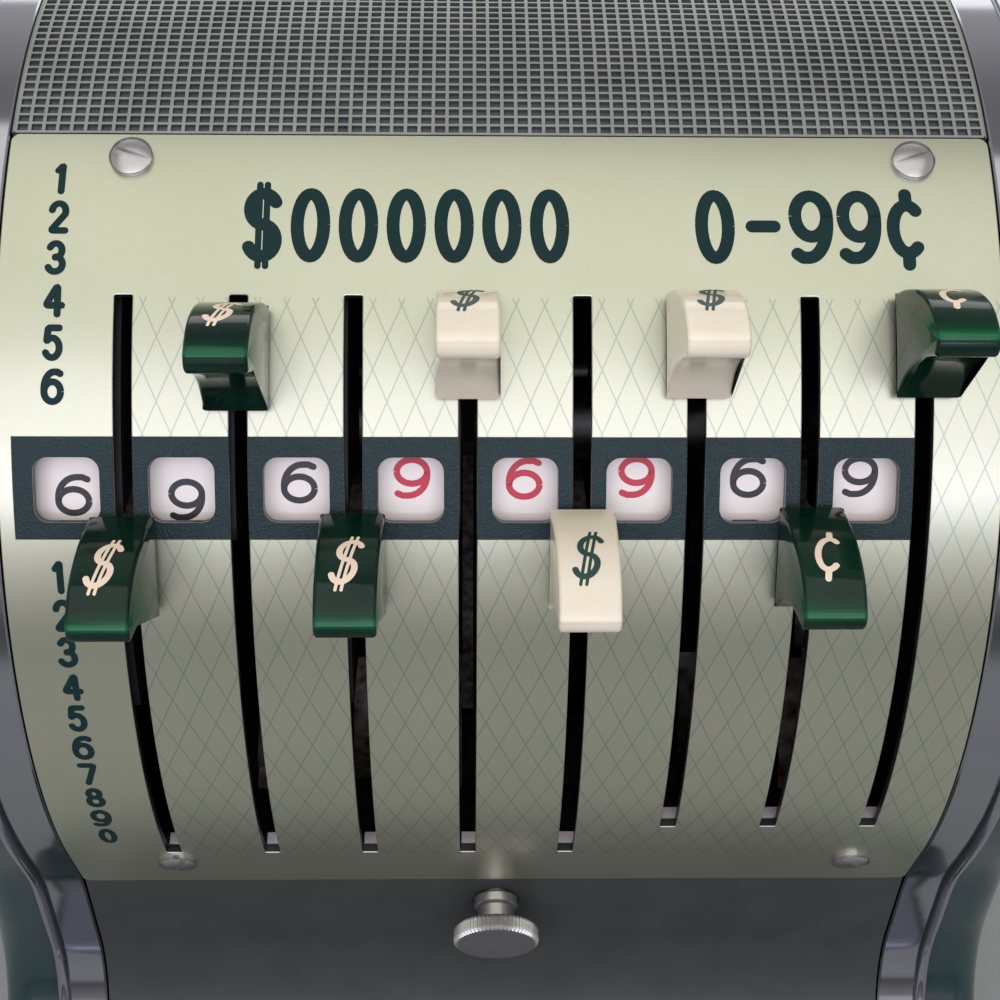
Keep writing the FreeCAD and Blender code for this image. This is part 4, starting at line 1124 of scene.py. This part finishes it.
def ribTree():
    # ribs across and ribs round the drum, as one net
    tree, given = startTree("ribNet", ["Geometry", "Columns", "Rows", "Step X", "Step Angle", "Start Angle",
                                       "Radius", "Rib X", "Rib Arc", "Height", "Finish"])
    # round ribs: a narrow arc strip, repeated along X
    flat = node(tree, "GeometryNodeMeshGrid", {"Vertices X": 2, "Vertices Y": 60, "Size X": given["Rib X"],
                                               "Size Y": 1.0}, "Mesh")
    x, y, _, _ = radialIn(tree)
    angle = given["Start Angle"] + (y + 0.5) * (given["Step Angle"] * given["Rows"])
    backY = reckon("COSINE", angle) * (given["Radius"] * -1)
    bent = setPlace(flat, x, backY, reckon("SINE", angle) * given["Radius"])
    rib = node(tree, "GeometryNodeExtrudeMesh",
               {"Mesh": bent, "Individual": False, "Offset Scale": given["Height"]})
    firstX = given["Columns"] * -0.5 * given["Step X"]
    places = node(tree, "GeometryNodeMeshLine", {"Count": given["Columns"] + 1,
                                                 "Start Location": vectorIn(firstX, 0, 0),
                                                 "Offset": vectorIn(given["Step X"], 0, 0)})
    roundRibs = node(tree, "GeometryNodeInstanceOnPoints", {"Points": places, "Instance": rib})
    # cross ribs: a bar along X, repeated round the arc
    size = vectorIn(given["Columns"] * given["Step X"], given["Rib Arc"], given["Height"])
    line = node(tree, "GeometryNodeMeshLine", {"Count": given["Rows"] + 1})
    angle = given["Start Angle"] + node(tree, "GeometryNodeInputIndex", {}) * given["Step Angle"]
    radius = given["Radius"] + given["Height"] * 0.5
    backY = reckon("COSINE", angle) * (radius * -1)
    spread = setPlace(line, 0, backY, reckon("SINE", angle) * radius)
    tilt = vectorIn(reckon("SUBTRACT", math.pi / 2, angle), 0, 0)
    bar = node(tree, "GeometryNodeMeshCube", {"Size": size})
    bars = node(tree, "GeometryNodeInstanceOnPoints", {"Points": spread, "Instance": bar, "Rotation": tilt})
    net = node(tree, "GeometryNodeTransform",
               {"Geometry": joinIn(roundRibs, bars), "Translation": shaftCentre})
    return endTree(tree, net, given)


def buildGridCover():
    g = gridCover
    start = outline["topAngle"] + math.degrees(outline["seamGap"] / plateRadius)
    columns = int((2 * (plateHalf - g["border"])) / g["pitchX"])
    stepAngle = math.degrees(g["pitchArc"] / plateRadius)
    first = start + math.degrees(g["bottomRib"] / plateRadius)
    rows = int((outline["coverSplit"] - 1.0 - first) / stepAngle)
    values = {"Columns": columns, "Rows": rows, "Step X": g["pitchX"], "Step Angle": math.radians(stepAngle),
              "Start Angle": math.radians(first), "Radius": plateRadius - g["wellDepth"], "Rib X": g["ribX"],
              "Rib Arc": g["ribArc"], "Height": g["ribHeight"], "Finish": finishes["grid"]}
    net = runTree(ribTree(), pointsHolder("gridRibPoints", []), "gridRibs", values)
    # the ribs' walls get the wells' dark colour as painted shade
    net.data.materials.append(finishes["gridWell"])
    for face in net.data.polygons:
        across = face.center - shaftCentre
        across.x = 0.0
        if face.normal.dot(across.normalized()) < 0.7:      # the ribs' walls are as dark as the wells
            face.material_index = 1
    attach(net, "housing")
    # sheet with raised side borders under the net
    edge = columns * g["pitchX"] / 2 + g["ribX"] / 2
    section = [(-plateHalf, 0.0), (-edge, 0.0), (-edge, -g["wellDepth"]), (edge, -g["wellDepth"]),
               (edge, 0.0), (plateHalf, 0.0), (plateHalf, -facePlate["thickness"]),
               (-plateHalf, -facePlate["thickness"])]
    rings = []
    for angle in sweepAngles(start, outline["coverSplit"], 1.0):
        drum = [shaftCentre + outward(angle) * (plateRadius + offset) for _, offset in section]
        rings.append([Vector((x, point.y, point.z)) for (x, _), point in zip(section, drum)])
    bm = bmesh.new()
    tube(bm, rings)
    sheet = finishMesh(bm, "gridSheet", finishes["border"])
    # the sheet's floor between the borders is painted dark as shade in the recess
    sheet.data.materials.append(finishes["gridWell"])
    for face in sheet.data.polygons:
        if abs(face.center.x) < edge - 1e-5:
            face.material_index = 1
    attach(sheet, "housing")
    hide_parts("grid_cover")


buildGridCover()
print("stage: grid cover")


# bright cheeks
cheekTrim = {
    "inner": 0.3 * mm,        # from the plate's edge
    "band": 6.4 * mm,
    "bead": 2.4 * mm,
    "beadRise": 1.2 * mm,
    "depth": 4.0 * mm,
}


def buildCheeks():
    c = cheekTrim
    start = plateHalf + c["inner"]
    beadStart = start + c["band"]
    section = [(start, -c["depth"]), (start, -0.3 * mm), (start + 0.3 * mm, 0.0),
               (beadStart - 0.25 * mm, 0.0)]
    middle = beadStart + c["bead"] / 2
    for i in range(0, 13):
        angle = 180 - 180 * i / 12
        section.append((middle + c["bead"] / 2 * degreesCos(angle), c["beadRise"] * degreesSin(angle)))
    section.append((beadStart + c["bead"], -c["depth"]))
    for name, side in (("right_cheek", 1), ("left_cheek", -1)):
        mirrored = [(side * x, offset) for x, offset in section]
        piece = sweepSection(name.replace("_cheek", "CheekTrim"), mirrored, finishes["chrome"], 1.0)
        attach(piece, "housing")
        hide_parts(name)


buildCheeks()
print("stage: cheeks")


# finishes on the pieces that keep their own shape
nodeFinish = {
    "base": "side", "rubber_feet": "rubber", "paper_table": "blackEnamel", "right_side_frame": "darkSteel",
    "left_side_frame": "darkSteel", "tie_rods": "darkSteel", "main_shaft": "steel", "detent_comb": "steel",
    "throat_guide": "steel", "plate_rails": "darkSteel", "slot_stops": "stopMetal", "rear_cover": "side",
    "apron": "apron", "right_side_cover": "side", "left_side_cover": "side",
    "platen": "steel", "lift_wedge": "steel", "handle_shaft": "steel", "handle_arm": "chrome",
    "handle_grip": "green", "return_spring": "steel", "ink_roller": "rubber",
}
for column in range(1, len(slotXs) + 1):
    nodeFinish[f"lever_arm_{column}"] = "wornSteel"
    nodeFinish[f"type_segment_{column}"] = "brass"

for name, finish in nodeFinish.items():
    piece = frame["nodes"][name]
    if not piece.material_slots:
        piece.data.materials.append(None)
    for slot in piece.material_slots:
        slot.material = finishes[finish]
print("stage: carried finishes")


# floor, light and camera
studio = {
    "floorColor": (0.29, 0.30, 0.275),
    "skyColor": (0.30, 0.30, 0.305),
    "backColor": (0.60, 0.60, 0.60),
    "lowColor": (0.12, 0.125, 0.13),
    "skyRange": (-0.05, 0.2),        # height of a direction's unit vector where the sky starts and is full
    "backRange": (0.5, 0.9),         # how far back or aside the brighter sky starts and is full
    # soft boxes: place, width, height, power, colour
    "lowLight": ((-0.02, -1.07, 0.465), 1.4, 0.35, 0.65, (1, 1, 1)),
    "keyLight": ((-0.02, -0.93, 0.666), 1.2, 0.05, 2.3, (1, 0.99, 1.33)),
    "frontLight": ((-0.02, -0.77, 0.94), 1.4, 0.51, 4.6, (1, 0.985, 1.17)),
    "topLight": ((-0.02, -0.10, 1.20), 1.4, 1.0, 4.9, (1, 1, 0.95)),
    "backLight": ((0.0, 1.30, 0.50), 1.4, 0.5, 3.5, (1, 1, 1)),
}


def lookAt(holder, target):
    holder.rotation_euler = (Vector(target) - holder.location).to_track_quat("-Z", "Y").to_euler()


def addArea(name, place, width, height, power, color):
    light = bpy.data.lights.new(name, "AREA")
    light.shape = "RECTANGLE"
    light.size, light.size_y = width, height
    light.energy = power
    light.color = color
    holder = addObject(name, light)
    holder.location = place
    lookAt(holder, (0, 0, 0.12))


def buildStudio():
    s = studio
    bm = bmesh.new()
    bmesh.ops.create_grid(bm, x_segments=1, y_segments=1, size=3.0)
    floor = addMesh(bm, "floor", grainy("paleFloor", s["floorColor"], 0.01, 0.0, 0.7, 400, 0.0))
    world = bpy.data.worlds.new("studio")
    world.use_nodes = True
    tree = world.node_tree
    x, y, z = splitVector(tree, node(tree, "ShaderNodeTexCoord", {}, "Generated"))
    aside = reckon("MAXIMUM", reckon("ABSOLUTE", x), y)
    sky = mixColor(tree, mapRange(z, *s["skyRange"]), s["lowColor"], s["skyColor"])
    sky = mixColor(tree, mapRange(aside, *s["backRange"]), sky, s["backColor"])
    feed(tree, tree.nodes["Background"].inputs["Color"], sky)
    bpy.context.scene.world = world
    for name in ("lowLight", "keyLight", "frontLight", "topLight", "backLight"):
        addArea(name, *s[name])


camera = {
    "place": (-4.78 * mm, -209.82 * mm, 227.11 * mm),    # from the middle of the main shaft
    "pitch": 50.16,
    "yaw": 1.75,
    "roll": 1.40,
    "lens": 57.9,
}


def buildCamera():
    c = camera
    data = bpy.data.cameras.new("camera")
    data.lens = c["lens"]
    data.sensor_width = 36
    data.clip_start = 0.01
    holder = addObject("camera", data)
    forward = Vector((degreesSin(c["yaw"]) * degreesCos(c["pitch"]),
                      degreesCos(c["yaw"]) * degreesCos(c["pitch"]), -degreesSin(c["pitch"])))
    level = Vector((degreesCos(c["yaw"]), -degreesSin(c["yaw"]), 0))
    levelUp = level.cross(forward)
    right = level * degreesCos(c["roll"]) + levelUp * degreesSin(c["roll"])
    up = levelUp * degreesCos(c["roll"]) - level * degreesSin(c["roll"])
    turn = Matrix((right, up, -forward)).transposed().to_4x4()
    holder.matrix_world = Matrix.Translation(shaftCentre + Vector(c["place"])) @ turn
    bpy.context.scene.camera = holder


buildStudio()
buildCamera()
bpy.context.scene.view_settings.view_transform = "Standard"
print("stage: studio")
